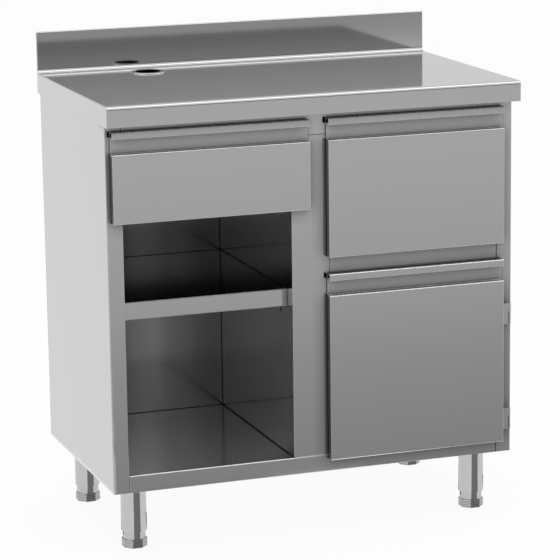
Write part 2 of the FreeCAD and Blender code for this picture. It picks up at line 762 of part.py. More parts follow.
def build_centre_divider():
    """The centre divider: two walls folded from one sheet round the mullion face."""
    path = [
        (MULLION_LEFT + s.divider_flange, BACK_Y),
        (MULLION_LEFT, BACK_Y),
        (MULLION_LEFT, FRAME_Y),
        (MULLION_RIGHT, FRAME_Y),
        (MULLION_RIGHT, BACK_Y),
        (MULLION_RIGHT - s.divider_flange, BACK_Y),
    ]
    piece = folded("centre_divider", "plan", path, s.panel_sheet, FLOOR_Z, CABINET_TOP, -1)
    rail_notch = rectangle(
        FRAME_Y - s.butt_gap, FRAME_Y + s.rail_flange + s.butt_gap, TOP_RAIL_BOTTOM, CABINET_TOP)
    piece.cut("side", MULLION_LEFT - s.butt_gap, MULLION_RIGHT + s.butt_gap, rail_notch)
    cut_runner_holes(piece, LEFT_DRAWER, MULLION_LEFT, MULLION_LEFT + s.panel_sheet)
    cut_runner_holes(piece, RIGHT_DRAWER, MULLION_RIGHT, MULLION_RIGHT - s.panel_sheet)


def cross_rail_path(low, high):
    """The path of a cross rail: a face between two rearward flanges."""
    return [
        (FRAME_Y + s.rail_flange, low),
        (FRAME_Y, low),
        (FRAME_Y, high),
        (FRAME_Y + s.rail_flange, high),
    ]


def build_rails():
    """The cross rails at the cabinet face, and the angle that carries the worktop at the rear."""
    end = POST_X - s.butt_gap
    folded("top_front_rail", "side", cross_rail_path(TOP_RAIL_BOTTOM, CABINET_TOP), s.panel_sheet, -end, end)
    low = DOOR_FRONT.top - s.rail_overlap
    high = RIGHT_FRONT.bottom + s.rail_overlap
    folded(
        "drawer_door_rail", "side", cross_rail_path(low, high), s.panel_sheet,
        MULLION_RIGHT + s.butt_gap, end)
    angle = [
        (BACK_Y, CABINET_TOP - s.rear_rail_height),
        (BACK_Y, CABINET_TOP),
        (BACK_Y - s.rear_rail_flange, CABINET_TOP),
    ]
    reach = SIDE_FACE - s.top_flange - s.butt_gap
    piece = folded("top_rear_rail", "side", angle, s.panel_sheet, -reach, reach, -1)
    notch = rectangle(
        MULLION_LEFT - s.butt_gap, MULLION_RIGHT + s.butt_gap,
        CABINET_TOP - s.rear_rail_height, CABINET_TOP)
    piece.cut("front", BACK_Y - s.rear_rail_flange, BACK_Y, notch)


def build_shelf():
    """The shelf of the open niche, and the four clips that it rests on."""
    left = -SIDE_INNER + s.butt_gap
    right = MULLION_LEFT - s.butt_gap
    rear = BACK_Y - s.butt_gap
    outline = rectangle(left, right, SHELF_FRONT, rear)
    piece = tray("middle_shelf", "plan", outline, SHELF_BOTTOM, SHELF_TOP, open_high=False)
    piece.round("side", [(SHELF_FRONT, SHELF_TOP)], OUTSIDE_BEND)
    piece.round("side", [(SHELF_FRONT + s.panel_sheet, SHELF_TOP - s.panel_sheet)], s.bend_radius)

    clips = Piece("shelf_clips")
    front = SHELF_FRONT + s.clip_inset
    last = rear - s.clip_inset - s.clip_length
    for wall, side in ((-SIDE_INNER, RIGHT), (MULLION_LEFT, LEFT)):
        path = [
            (wall, SHELF_BOTTOM - s.clip_leaf),
            (wall, SHELF_BOTTOM),
            (shifted(wall, s.clip_leaf, side), SHELF_BOTTOM),
        ]
        for start in (front, last):
            add_folded(clips, "front", path, s.clip_sheet, start, start + s.clip_length, side)


# ---------------------------------------------------------------------------------------------- runners

RUNNER_HALF = s.runner_height / 2
MIDDLE_HALF = RUNNER_HALF - s.runner_sheet - s.runner_gap
INNER_HALF = MIDDLE_HALF - s.runner_sheet - s.runner_gap


def channel_path(web, tip, level, half):
    """The path of a runner member: a web with one flange above and one below."""
    return [(tip, level - half), (web, level - half), (web, level + half), (tip, level + half)]


def cut_runner_holes(piece, drawer, near, far):
    """Cut the screw holes of a drawer's runners through a sheet between two faces."""
    holes = [(depth, drawer.runner, s.screw_radius + s.hole_clearance) for depth in RUNNER_SCREW_Y]
    low, high = sorted((near, far), key=lambda face: face.value)
    piece.cut("side", low, high, circles=holes)


def build_runner_member(label, drawer, web_offset, flange, half, screwed, opens):
    """One member of the runners on both sides of a drawer.

    The web stands at an offset from the cabinet, and the flanges point away from the cabinet (opens 1) or
    back to it (opens -1).
    """
    piece = Piece(label)
    for wall, side in ((drawer.left, RIGHT), (drawer.right, LEFT)):
        web = shifted(wall, web_offset, side)
        tip = shifted(web, flange, side * opens)
        path = channel_path(web, tip, drawer.runner, half)
        add_folded(piece, "front", path, s.runner_sheet, RUNNER_FRONT, RUNNER_REAR, side * opens)
        if screwed:
            cut_runner_holes(piece, drawer, web, shifted(web, s.runner_sheet, side * opens))


def build_runners(drawer):
    """The three members of a drawer's telescopic runners."""
    name = drawer.front.name
    build_runner_member(name + "_outer_rails", drawer, ZERO, s.outer_flange, RUNNER_HALF, True, 1)
    build_runner_member(
        name + "_middle_rails", drawer, s.middle_start, s.middle_flange, MIDDLE_HALF, False, 1)
    build_runner_member(
        name + "_inner_rails", drawer, s.runner_thickness, s.inner_flange, INNER_HALF, True, -1)


def build_runner_bracket(label, drawer, side):
    """The hat channel that brings a runner from the side wall out to the post."""
    web = POST_X + s.panel_sheet
    profile = hat(drawer.runner, s.bracket_web, s.bracket_lip, SIDE_INNER, web)
    path = [(across, level) for level, across in profile]
    if side == LEFT:
        path = mirrored(path)
    piece = folded(label, "front", path, s.panel_sheet, BRACKET_FRONT, RUNNER_REAR, -side)
    cut_runner_holes(piece, drawer, shifted(ZERO, POST_X, side), shifted(ZERO, web, side))


def build_runner_screws():
    """Screws through the outer rails into the brackets and the centre divider."""
    master = make_screw("runner_screw", s.panel_sheet + s.runner_sheet + s.screw_radius)
    places = []
    for drawer in (LEFT_DRAWER, RIGHT_DRAWER):
        for depth in RUNNER_SCREW_Y:
            places.append((drawer.left + s.runner_sheet, depth, drawer.runner, HEAD_TO_RIGHT))
            places.append((drawer.right - s.runner_sheet, depth, drawer.runner, HEAD_TO_LEFT))
    copies("runner_screws", master, places)


# ---------------------------------------------------------------------------------------------- fronts

def build_front(front):
    """A front skin: one sheet folded into the panel, the open slot and the lip above it."""
    panel_top = front.top - s.lip_height - s.grip_height
    slot_back = FRONT_BACK - s.panel_sheet
    lip_inner = FRONT_Y + s.panel_sheet
    path = [
        (FRONT_BACK, front.bottom),
        (FRONT_Y, front.bottom),
        (FRONT_Y, panel_top),
        (slot_back, panel_top),
        (slot_back, front.top - s.panel_sheet),
        (lip_inner, front.top - s.panel_sheet),
        (lip_inner, front.top - s.lip_height),
    ]
    piece = folded(front.name + "_front", "side", path, s.panel_sheet, front.left, front.right)
    cheek = rectangle(lip_inner, FRONT_BACK, front.bottom + OUTSIDE_BEND, panel_top - OUTSIDE_BEND)
    piece.grow("side", front.left, front.left + s.panel_sheet, cheek)
    piece.grow("side", front.right - s.panel_sheet, front.right, cheek)
    return piece


def liner_limits(front):
    """The outer rectangle of the liner inside a front."""
    gap = s.panel_sheet + s.butt_gap
    panel_top = front.top - s.lip_height - s.grip_height
    return rectangle(front.left + gap, front.right - gap, front.bottom + gap, panel_top - gap)


def build_liner(front):
    """The liner that closes the back of a front: a tray open to the front."""
    return tray(
        front.name + "_liner", "front", liner_limits(front), FRONT_BACK - s.liner_depth, FRONT_BACK,
        open_high=False)


def build_buffers(front, rows):
    """Rubber buffers behind a front, in the middle of its overlap with the frame."""
    left_frame = -POST_X if front is LEFT_FRONT else MULLION_RIGHT
    right_frame = MULLION_LEFT if front is LEFT_FRONT else POST_X
    columns = [(front.left + left_frame) / 2, (front.right + right_frame) / 2]
    if front is DOOR_FRONT:
        columns = columns[:1]
    piece = Piece(front.name + "_buffers")
    circles = [(across, level, s.buffer_radius) for across in columns for level in rows]
    piece.grow("front", FRONT_BACK, FRAME_Y - s.rest_gap, circles=circles)


def drawer_screw_places(drawer):
    """Where the screws join a drawer box to its front: across and level of each."""
    inset_x = s.runner_thickness + s.buffer_inset
    low = drawer.bottom + s.buffer_inset
    high = drawer.front.top - s.lip_height - s.grip_height - s.liner_depth - s.buffer_inset
    columns = (drawer.left + inset_x, drawer.right - inset_x)
    return [(across, level) for across in columns for level in (low, high)]


def build_drawer_box(drawer, front_holes):
    """A drawer box: floor and sides folded from one sheet with hemmed rims, and a plate at either end."""
    name = drawer.front.name
    left = drawer.left + s.runner_thickness
    right = drawer.right - s.runner_thickness
    front = FRONT_BACK + s.panel_sheet
    rear = FRONT_BACK + s.box_depth - s.panel_sheet
    path = [(left, drawer.top), (left, drawer.bottom), (right, drawer.bottom), (right, drawer.top)]
    box = folded(name + "_box", "front", path, s.panel_sheet, front, rear, -1)
    hem_low = drawer.top - s.hem_height
    hems = [(left - s.panel_sheet, left), (right, right + s.panel_sheet)]
    for inner, outer in hems:
        box.grow("front", front, rear, rectangle(inner, outer, hem_low, drawer.top))
    rims = [(left - s.panel_sheet, drawer.top), (left + s.panel_sheet, drawer.top)]
    rims += [(right - s.panel_sheet, drawer.top), (right + s.panel_sheet, drawer.top)]
    box.round("front", rims, s.panel_sheet * HEM_ROUNDING)
    cut_runner_holes(box, drawer, left, left + s.panel_sheet)
    cut_runner_holes(box, drawer, right, right - s.panel_sheet)

    ends = Piece(name + "_box_ends")
    plate = rectangle(left, right, drawer.bottom, drawer.top)
    ends.grow("front", FRONT_BACK, front, plate)
    ends.grow("front", rear, rear + s.panel_sheet, plate)
    ends.round("front", plate[:2], OUTSIDE_BEND)
    ends.cut("front", FRONT_BACK, front, circles=front_holes)


def build_drawer(drawer):
    """A drawer: front, liner, box, screws, buffers and runners."""
    front = drawer.front
    holes = [(x, z, s.screw_radius + s.hole_clearance) for x, z in drawer_screw_places(drawer)]
    build_front(front)
    liner = build_liner(front)
    liner.cut("front", FRONT_BACK - s.panel_sheet, FRONT_BACK, circles=holes)

    build_drawer_box(drawer, holes)
    master = make_screw(front.name + "_screw", s.runner_sheet + s.panel_sheet)
    places = [(x, FRONT_BACK + s.panel_sheet, z, HEAD_TO_REAR) for x, z in drawer_screw_places(drawer)]
    rail_face = s.runner_thickness - s.runner_sheet
    for depth in RUNNER_SCREW_Y:
        places.append((drawer.left + rail_face, depth, drawer.runner, HEAD_TO_LEFT))
        places.append((drawer.right - rail_face, depth, drawer.runner, HEAD_TO_RIGHT))
    copies(front.name + "_screws", master, places)
    build_buffers(front, [front.bottom + s.buffer_inset, front.top - s.grip_height - s.buffer_inset])
    build_runners(drawer)


# ---------------------------------------------------------------------------------------------- door

def build_hinge_leaf(label, level):
    """The door's half of a hinge: a block on the door's side, with an arm over the pin."""
    piece = Piece(label)
    block = rectangle(DOOR_FRONT.right, DOOR_FRONT.right + s.leaf_width, FRONT_Y, FRONT_BACK)
    piece.grow("plan", level, level + s.hinge_height, block)
    arm = rectangle(DOOR_FRONT.right + s.panel_sheet, HINGE_X, FRONT_Y, HINGE_Y + s.knuckle_radius)
    arm_bottom = level + s.hinge_height - s.arm_height
    piece.grow("plan", arm_bottom, level + s.hinge_height, arm)
    round_end = (HINGE_X, HINGE_Y, s.knuckle_radius)
    piece.grow("plan", arm_bottom, level + s.hinge_height, circles=[round_end])
    pin_hole = (HINGE_X, HINGE_Y, s.pin_radius + s.pin_clearance)
    piece.cut("plan", arm_bottom, level + s.hinge_height, circles=[pin_hole])
    thread = s.screw_radius + s.thread_clearance
    screws = [(depth, height, thread) for depth, height in leaf_screw_places(level)]
    piece.cut("side", DOOR_FRONT.right, DOOR_FRONT.right + s.leaf_width / 2, circles=screws)


def leaf_screw_places(level):
    """The two screws of a hinge leaf: depth and height of each."""
    depth = FRONT_BACK - s.liner_depth / 2
    return [(depth, level + s.hinge_height * share) for share in SCREW_SHARES]


def build_hinges():
    """The frame's half of both hinges, with their pins and screws."""
    knuckles = Piece("hinge_frame_knuckles")
    pins = Piece("hinge_pins")
    for level in HINGE_LEVELS:
        top = level + KNUCKLE_HEIGHT
        foot = rectangle(HINGE_X - s.knuckle_radius, HINGE_X + s.knuckle_radius, HINGE_Y, FRAME_Y)
        knuckles.grow("plan", level, top, foot)
        knuckles.grow("plan", level, top, circles=[(HINGE_X, HINGE_Y, s.knuckle_radius)])
        knuckles.cut("plan", level + s.pin_inset, top, circles=[(HINGE_X, HINGE_Y, s.pin_radius)])
        pins.grow(
            "plan", level + s.pin_inset, level + s.hinge_height - s.pin_inset,
            circles=[(HINGE_X, HINGE_Y, s.pin_radius)])
    thread = s.post_return / 2
    screws = [(HINGE_X, level, s.screw_radius + s.thread_clearance) for level in HINGE_SCREW_LEVELS]
    knuckles.cut("front", FRAME_Y - thread, FRAME_Y, circles=screws)
    master = make_screw("hinge_screw", thread)
    places = [(HINGE_X, FRAME_Y + s.panel_sheet, level, HEAD_TO_REAR) for level in HINGE_SCREW_LEVELS]
    copies("hinge_frame_screws", master, places)


def build_door():
    """The door: skin, liner, hinge leaves with their screws, buffers and catch plate."""
    skin = build_front(DOOR_FRONT)
    liner = build_liner(DOOR_FRONT)
    wall = s.panel_sheet * 2 + s.butt_gap
    screws = [place for level in HINGE_LEVELS for place in leaf_screw_places(level)]
    holes = [(depth, level, s.screw_radius + s.hole_clearance) for depth, level in screws]
    skin.cut("side", DOOR_FRONT.right - s.panel_sheet, DOOR_FRONT.right, circles=holes)
    liner.cut("side", DOOR_FRONT.right - wall, DOOR_FRONT.right - s.panel_sheet, circles=holes)
    for name, level in zip(("upper", "lower"), HINGE_LEVELS):
        build_hinge_leaf("door_hinge_leaf_" + name, level)
    master = make_screw("door_hinge_screw", wall + s.leaf_width / 2 - s.screw_radius)
    places = [(DOOR_FRONT.right - wall, depth, level, HEAD_TO_LEFT) for depth, level in screws]
    copies("door_hinge_screws", master, places)
    panel_top = DOOR_FRONT.top - s.lip_height - s.grip_height
    build_buffers(DOOR_FRONT, [DOOR_FRONT.bottom + s.buffer_inset, panel_top - s.buffer_inset])


def build_catch():
    """The magnetic catch under the cross rail, and the plate that it holds on the door."""
    left = MULLION_RIGHT + s.catch_inset
    right = left + s.catch_width
    top = DOOR_FRONT.top - s.rail_overlap
    plate_back = FRONT_BACK + s.catch_plate
    catch_front = plate_back + s.rest_gap
    catch = Piece("magnetic_catch")
    catch.grow("plan", top - s.catch_height, top, rectangle(
        left, right, catch_front, catch_front + s.catch_depth))
    catch.round("plan", [(left, catch_front), (right, catch_front)], s.bend_radius)
    plate = Piece("door_catch_plate")
    plate.grow("front", FRONT_BACK, plate_back, rectangle(left, right, top - s.catch_height, top))


# ---------------------------------------------------------------------------------------------- legs

LEG_X = SIDE_FACE - s.leg_from_side
LEG_FRONT_Y = FRAME_Y + s.leg_from_face
LEG_REAR_Y = CABINET_REAR - s.leg_from_face
CHANNEL_BOTTOM = FLOOR_Z - s.panel_sheet - s.channel_depth
PLATE_BOTTOM = CHANNEL_BOTTOM - s.plate_thickness
INSERT_BOTTOM = s.foot_height + s.neck_height + s.rest_gap
# How many ribs stand round a foot for the hand that turns it
FOOT_RIBS = 5
LEG_PLACES = {
    "front_left": (-LEG_X, LEG_FRONT_Y),
    "front_right": (LEG_X, LEG_FRONT_Y),
    "rear_left": (-LEG_X, LEG_REAR_Y),
    "rear_right": (LEG_X, LEG_REAR_Y),
}


def plate_bolt_places():
    """The four bolts of a leg plate, about its middle."""
    return [(a, b) for a in (-s.plate_bolts, s.plate_bolts) for b in (-s.plate_bolts, s.plate_bolts)]


def build_leg_mounts():
    """The channels under the floor, the plates on them, their bolts and the threaded inserts."""
    channels = Piece("leg_channels")
    front = POST_BACK + s.butt_gap + s.panel_sheet
    rear = REAR_BEND_START - s.panel_sheet
    under_floor = FLOOR_Z - s.panel_sheet
    web_top = CHANNEL_BOTTOM + s.panel_sheet
    for middle in (-LEG_X, LEG_X):
        path = hat(middle, s.channel_web, s.channel_lip, under_floor, web_top)
        add_folded(channels, "front", path, s.panel_sheet, front, rear)
    holes = [
        (x + across, y + along, s.bolt_radius + s.hole_clearance)
        for x, y in LEG_PLACES.values() for across, along in plate_bolt_places()
    ]
    channels.cut("plan", CHANNEL_BOTTOM, web_top, circles=holes)

    plate = Piece("leg_plate", is_node=False)
    half = s.plate_side / 2
    corners = rectangle(-half, half, -half, half)
    plate.grow("plan", ZERO, s.plate_thickness, corners)
    plate.round("plan", corners, s.bolt_radius * 2)
    holes = [(across, along, s.bolt_radius + s.hole_clearance) for across, along in plate_bolt_places()]
    plate.cut("plan", ZERO, s.plate_thickness, circles=holes)
    copies("leg_plates", plate, [(x, y, PLATE_BOTTOM, HEAD_UP) for x, y in LEG_PLACES.values()])

    bolt = make_bolt("leg_bolt", s.plate_thickness + s.panel_sheet + s.bolt_radius)
    places = [
        (x + across, y + along, PLATE_BOTTOM, HEAD_DOWN)
        for x, y in LEG_PLACES.values() for across, along in plate_bolt_places()
    ]
    copies("leg_bolts", bolt, places)

    insert = Piece("leg_insert", is_node=False)
    insert.turn(rectangle(
        s.stud_radius + s.thread_clearance, s.leg_radius - s.leg_wall, ZERO, s.insert_height))
    copies("leg_inserts", insert, [(x, y, INSERT_BOTTOM, HEAD_UP) for x, y in LEG_PLACES.values()])


def build_leg(name, across, depth):
    """A leg tube, closed by a cap where it meets its plate."""
    leg = Piece("leg_" + name)
    inner = s.leg_radius - s.leg_wall
    cap = PLATE_BOTTOM - s.plate_thickness
    leg.turn([
        (inner, s.leg_bottom),
        (s.leg_radius, s.leg_bottom),
        (s.leg_radius, PLATE_BOTTOM),
        (ZERO, PLATE_BOTTOM),
        (ZERO, cap),
        (inner, cap),
    ])
    leg.place(across, depth)


def build_foot(name, across, depth):
    """A screw-out foot: ribbed octagonal base, round neck inside the leg tube, and threaded stud."""
    foot = Piece("foot_" + name)
    rib = polygon(s.foot_radius, 8, 22.5)
    core = polygon(s.foot_radius - s.foot_groove, 8, 22.5)
    pitch = (s.foot_height + s.foot_groove) / FOOT_RIBS
    lowest_groove = pitch - s.foot_groove
    foot.grow("plan", ZERO, lowest_groove, rib)
    bottom = []
    for number, edge in enumerate(foot.body.Tip.Shape.Edges, start=1):
        if abs(edge.CenterOfMass.z) < 0.001:
            bottom.append("Edge%d" % number)
    foot.dress(bottom, s.foot_chamfer, "PartDesign::Chamfer")
    foot.grow("plan", lowest_groove, s.foot_height, core)
    for number in range(1, FOOT_RIBS):
        foot.grow("plan", pitch * number, pitch * number + lowest_groove, rib)
    neck_top = s.foot_height + s.neck_height
    foot.grow("plan", s.foot_height, neck_top, circles=[(ZERO, ZERO, s.neck_radius)])
    foot.grow("plan", neck_top, s.stud_top, circles=[(ZERO, ZERO, s.stud_radius)])
    foot.place(across, depth)


# ---------------------------------------------------------------------------------------------- assembly

def check_document():
    """Stop if any object failed, or any sub-part is empty, invalid or named twice."""
    DOC.recompute()
    for item in DOC.Objects:
        if "Invalid" in item.State or "Error" in item.State:
            raise RuntimeError("%s failed: %s" % (item.Name, item.State))
    labels = [node.Label for node in NODES]
    if len(set(labels)) != len(labels):
        raise RuntimeError("two sub-parts share a name")
    for node in NODES:
        if node.Shape.isNull() or not node.Shape.isValid() or not node.Shape.Solids:
            raise RuntimeError("%s has no sound shape" % node.Label)


def main():
    """Build every sub-part, check them and write one STEP file for each."""
    build_worktop()
    build_stiffeners()
    build_worktop_bolts()
    build_grommet()
    build_side_panel("side_panel_left", LEFT)
    build_side_panel("side_panel_right", RIGHT)
    build_bottom_panel()
    build_back_panel()
    build_centre_divider()
    build_rails()
    build_shelf()
    build_runner_bracket("left_runner_bracket", LEFT_DRAWER, LEFT)
    build_runner_bracket("right_runner_bracket", RIGHT_DRAWER, RIGHT)
    build_drawer(LEFT_DRAWER)
    build_drawer(RIGHT_DRAWER)
    build_runner_screws()
    build_door()
    build_hinges()
    build_catch()
    build_leg_mounts()
    for name, (across, depth) in LEG_PLACES.items():
        build_leg(name, across, depth)
        build_foot(name, across, depth)
    check_document()
    os.makedirs("parts", exist_ok=True)
    for node in NODES:
        node.Shape.exportStep("parts/%s.step" % node.Label)
        box = node.Shape.BoundBox
        print("%-24s solids %2d volume %11.1f  x %7.1f %7.1f  y %7.1f %7.1f  z %7.1f %7.1f" % (
            node.Label, len(node.Shape.Solids), node.Shape.Volume,
            box.XMin, box.XMax, box.YMin, box.YMax, box.ZMin, box.ZMax))


main()
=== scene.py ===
import logging
import math
from abc import ABC, abstractmethod
from dataclasses import dataclass, field
from enum import Enum, IntEnum

import bpy
import numpy as np
from mathutils import Matrix, Vector


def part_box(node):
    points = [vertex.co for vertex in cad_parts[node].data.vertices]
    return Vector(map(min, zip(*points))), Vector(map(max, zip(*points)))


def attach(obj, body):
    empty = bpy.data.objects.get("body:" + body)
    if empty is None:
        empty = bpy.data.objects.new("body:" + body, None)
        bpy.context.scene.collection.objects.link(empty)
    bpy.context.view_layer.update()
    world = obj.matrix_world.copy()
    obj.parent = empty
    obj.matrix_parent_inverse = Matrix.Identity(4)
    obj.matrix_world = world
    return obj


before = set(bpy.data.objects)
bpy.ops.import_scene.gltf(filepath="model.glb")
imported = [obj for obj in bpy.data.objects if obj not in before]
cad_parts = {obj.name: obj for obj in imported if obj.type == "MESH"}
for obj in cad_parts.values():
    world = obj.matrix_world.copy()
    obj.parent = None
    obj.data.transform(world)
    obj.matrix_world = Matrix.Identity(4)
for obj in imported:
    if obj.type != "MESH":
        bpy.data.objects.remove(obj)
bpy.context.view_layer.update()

log = logging.getLogger("waiter_station")

MM = 0.001

Point = tuple[float, float, float]
Glow = tuple[tuple[float, float], ...]  # places along a card, in metres, each with the brightness there


# ------------------------------------------------------------ shared helpers


class Axis(IntEnum):
    """The frame's axes: X to the right, Y to the rear and Z up."""

    X = 0
    Y = 1
    Z = 2


class End(IntEnum):
    """One end of a box along an axis."""

    LOW = 0
    HIGH = 1


class MixSocket(IntEnum):
    """The Mix node's sockets by number, because those of its data types share their names."""

    SHARE = 0
    VECTOR_A = 4
    VECTOR_B = 5
    COLOUR_A = 6
    COLOUR_B = 7


class MixResult(IntEnum):
    """The Mix node's results by number, one for each data type."""

    VECTOR = 1
    COLOUR = 2


def edge(node: str, end: End, axis: Axis) -> float:
    """Read one end of a node's box, rounded to 0.01 mm.

    Args:
        node: the node's name.
        end: which end of the box.
        axis: the axis to read along.

    Returns:
        The coordinate in metres.
    """
    return round(float(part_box(node)[end][axis]), 5)


def linear(hex_colour: str) -> tuple[float, float, float, float]:
    """Turn an sRGB hex colour into the linear RGBA that a shader takes.

    Args:
        hex_colour: a colour such as "#B4B5B7".

    Returns:
        Red, green, blue and an alpha of 1.
    """
    channels = np.array([int(hex_colour[place:place + 2], 16) for place in (1, 3, 5)]) / 255
    low, high = channels / 12.92, ((channels + 0.055) / 1.055) ** 2.4
    return (*np.where(channels <= 0.04045, low, high).tolist(), 1.0)


def add_node(tree: bpy.types.NodeTree, kind: str, settings: dict | None = None,
             inputs: dict | None = None) -> bpy.types.Node:
    """Add a node with its settings, values and links.

    Args:
        tree: the node tree it goes into.
        kind: the node's type name.
        settings: properties of the node itself.
        inputs: sockets by name or number, each with a value or with the output socket that feeds it.

    Returns:
        The new node.
    """
    node = tree.nodes.new(kind)
    for name, value in (settings or {}).items():
        setattr(node, name, value)
    for socket, value in (inputs or {}).items():
        if isinstance(value, bpy.types.NodeSocket):
            tree.links.new(value, node.inputs[socket])
        else:
            node.inputs[socket].default_value = value
    return node


def new_material(name: str) -> tuple[bpy.types.Material, bpy.types.NodeTree]:
    """Make an empty node material.

    Args:
        name: the material's name.

    Returns:
        The material and its node tree.
    """
    material = bpy.data.materials.new(name)
    material.use_nodes = True
    material.node_tree.nodes.clear()
    return material, material.node_tree


def add_object(name: str, data: bpy.types.ID) -> bpy.types.Object:
    """Put a mesh, lamp or camera into the scene.

    Args:
        name: the object's name.
        data: what the object shows.

    Returns:
        The object, at the origin.
    """
    thing = bpy.data.objects.new(name, data)
    bpy.context.scene.collection.objects.link(thing)
    return thing


def seen_directly(tree: bpy.types.NodeTree) -> bpy.types.NodeSocket:
    """Tell what the camera, a reflection or glass shows from what only lights the object.

    Args:
        tree: the node tree to work in.

    Returns:
        A socket that is 1 for camera, glossy and transmission rays, and 0 for all others.
    """
    path = add_node(tree, "ShaderNodeLightPath")
    either = add_node(tree, "ShaderNodeMath", {"operation": "MAXIMUM"}, {
        0: path.outputs["Is Camera Ray"], 1: path.outputs["Is Glossy Ray"]})
    shown = add_node(tree, "ShaderNodeMath", {"operation": "MAXIMUM"}, {
        0: either.outputs[0], 1: path.outputs["Is Transmission Ray"]})
    return shown.outputs[0]


def clear_from_behind(tree: bpy.types.NodeTree, surface: bpy.types.NodeSocket) -> bpy.types.NodeSocket:
    """Let a face vanish when it is seen from behind.

    Args:
        tree: the node tree to work in.
        surface: the shader of the face's front.

    Returns:
        The shader of both sides.
    """
    clear = add_node(tree, "ShaderNodeBsdfTransparent")
    side = add_node(tree, "ShaderNodeNewGeometry")
    return add_node(tree, "ShaderNodeMixShader", {}, {
        0: side.outputs["Backfacing"], 1: surface, 2: clear.outputs[0]}).outputs[0]


# ------------------------------------------------------------ finishes


INSIDE_START = edge("middle_shelf", End.LOW, Axis.Y) + 3 * MM  # from here to the rear, faces are inside ones
FOLD_START = edge("side_panel_right", End.HIGH, Axis.X) - 10.5 * MM  # where a side panel's corner fold starts
ZONE_BLEND = 2 * MM  # over which one zone passes into the next
LEVEL_LIMIT = 0.7  # a face counts as level where its normal's Z is above this
LEAVES_UPRIGHT = (0.12, 0.35)  # the normal's Z over which a rounded edge leaves the upright face
REACHES_LEVEL = (0.93, 0.99)  # and over which it reaches the level one
NOISE_PAIR = (0.6, 1.4)  # the useful range of two noises added up
LONG = 0.02  # the scale along the grain, which draws a pattern out fifty times


class Grain(Enum):
    """Which way the belt ran on a sheet's upright and level faces, as the pattern's scale on X, Y and Z."""

    ALONG_X = ((LONG, LONG, 1.0), (LONG, 1.0, 1.0))
    ALONG_Y = ((LONG, LONG, 1.0), (1.0, LONG, 1.0))
    ALONG_Z = ((1.0, 1.0, LONG), (LONG, 1.0, 1.0))


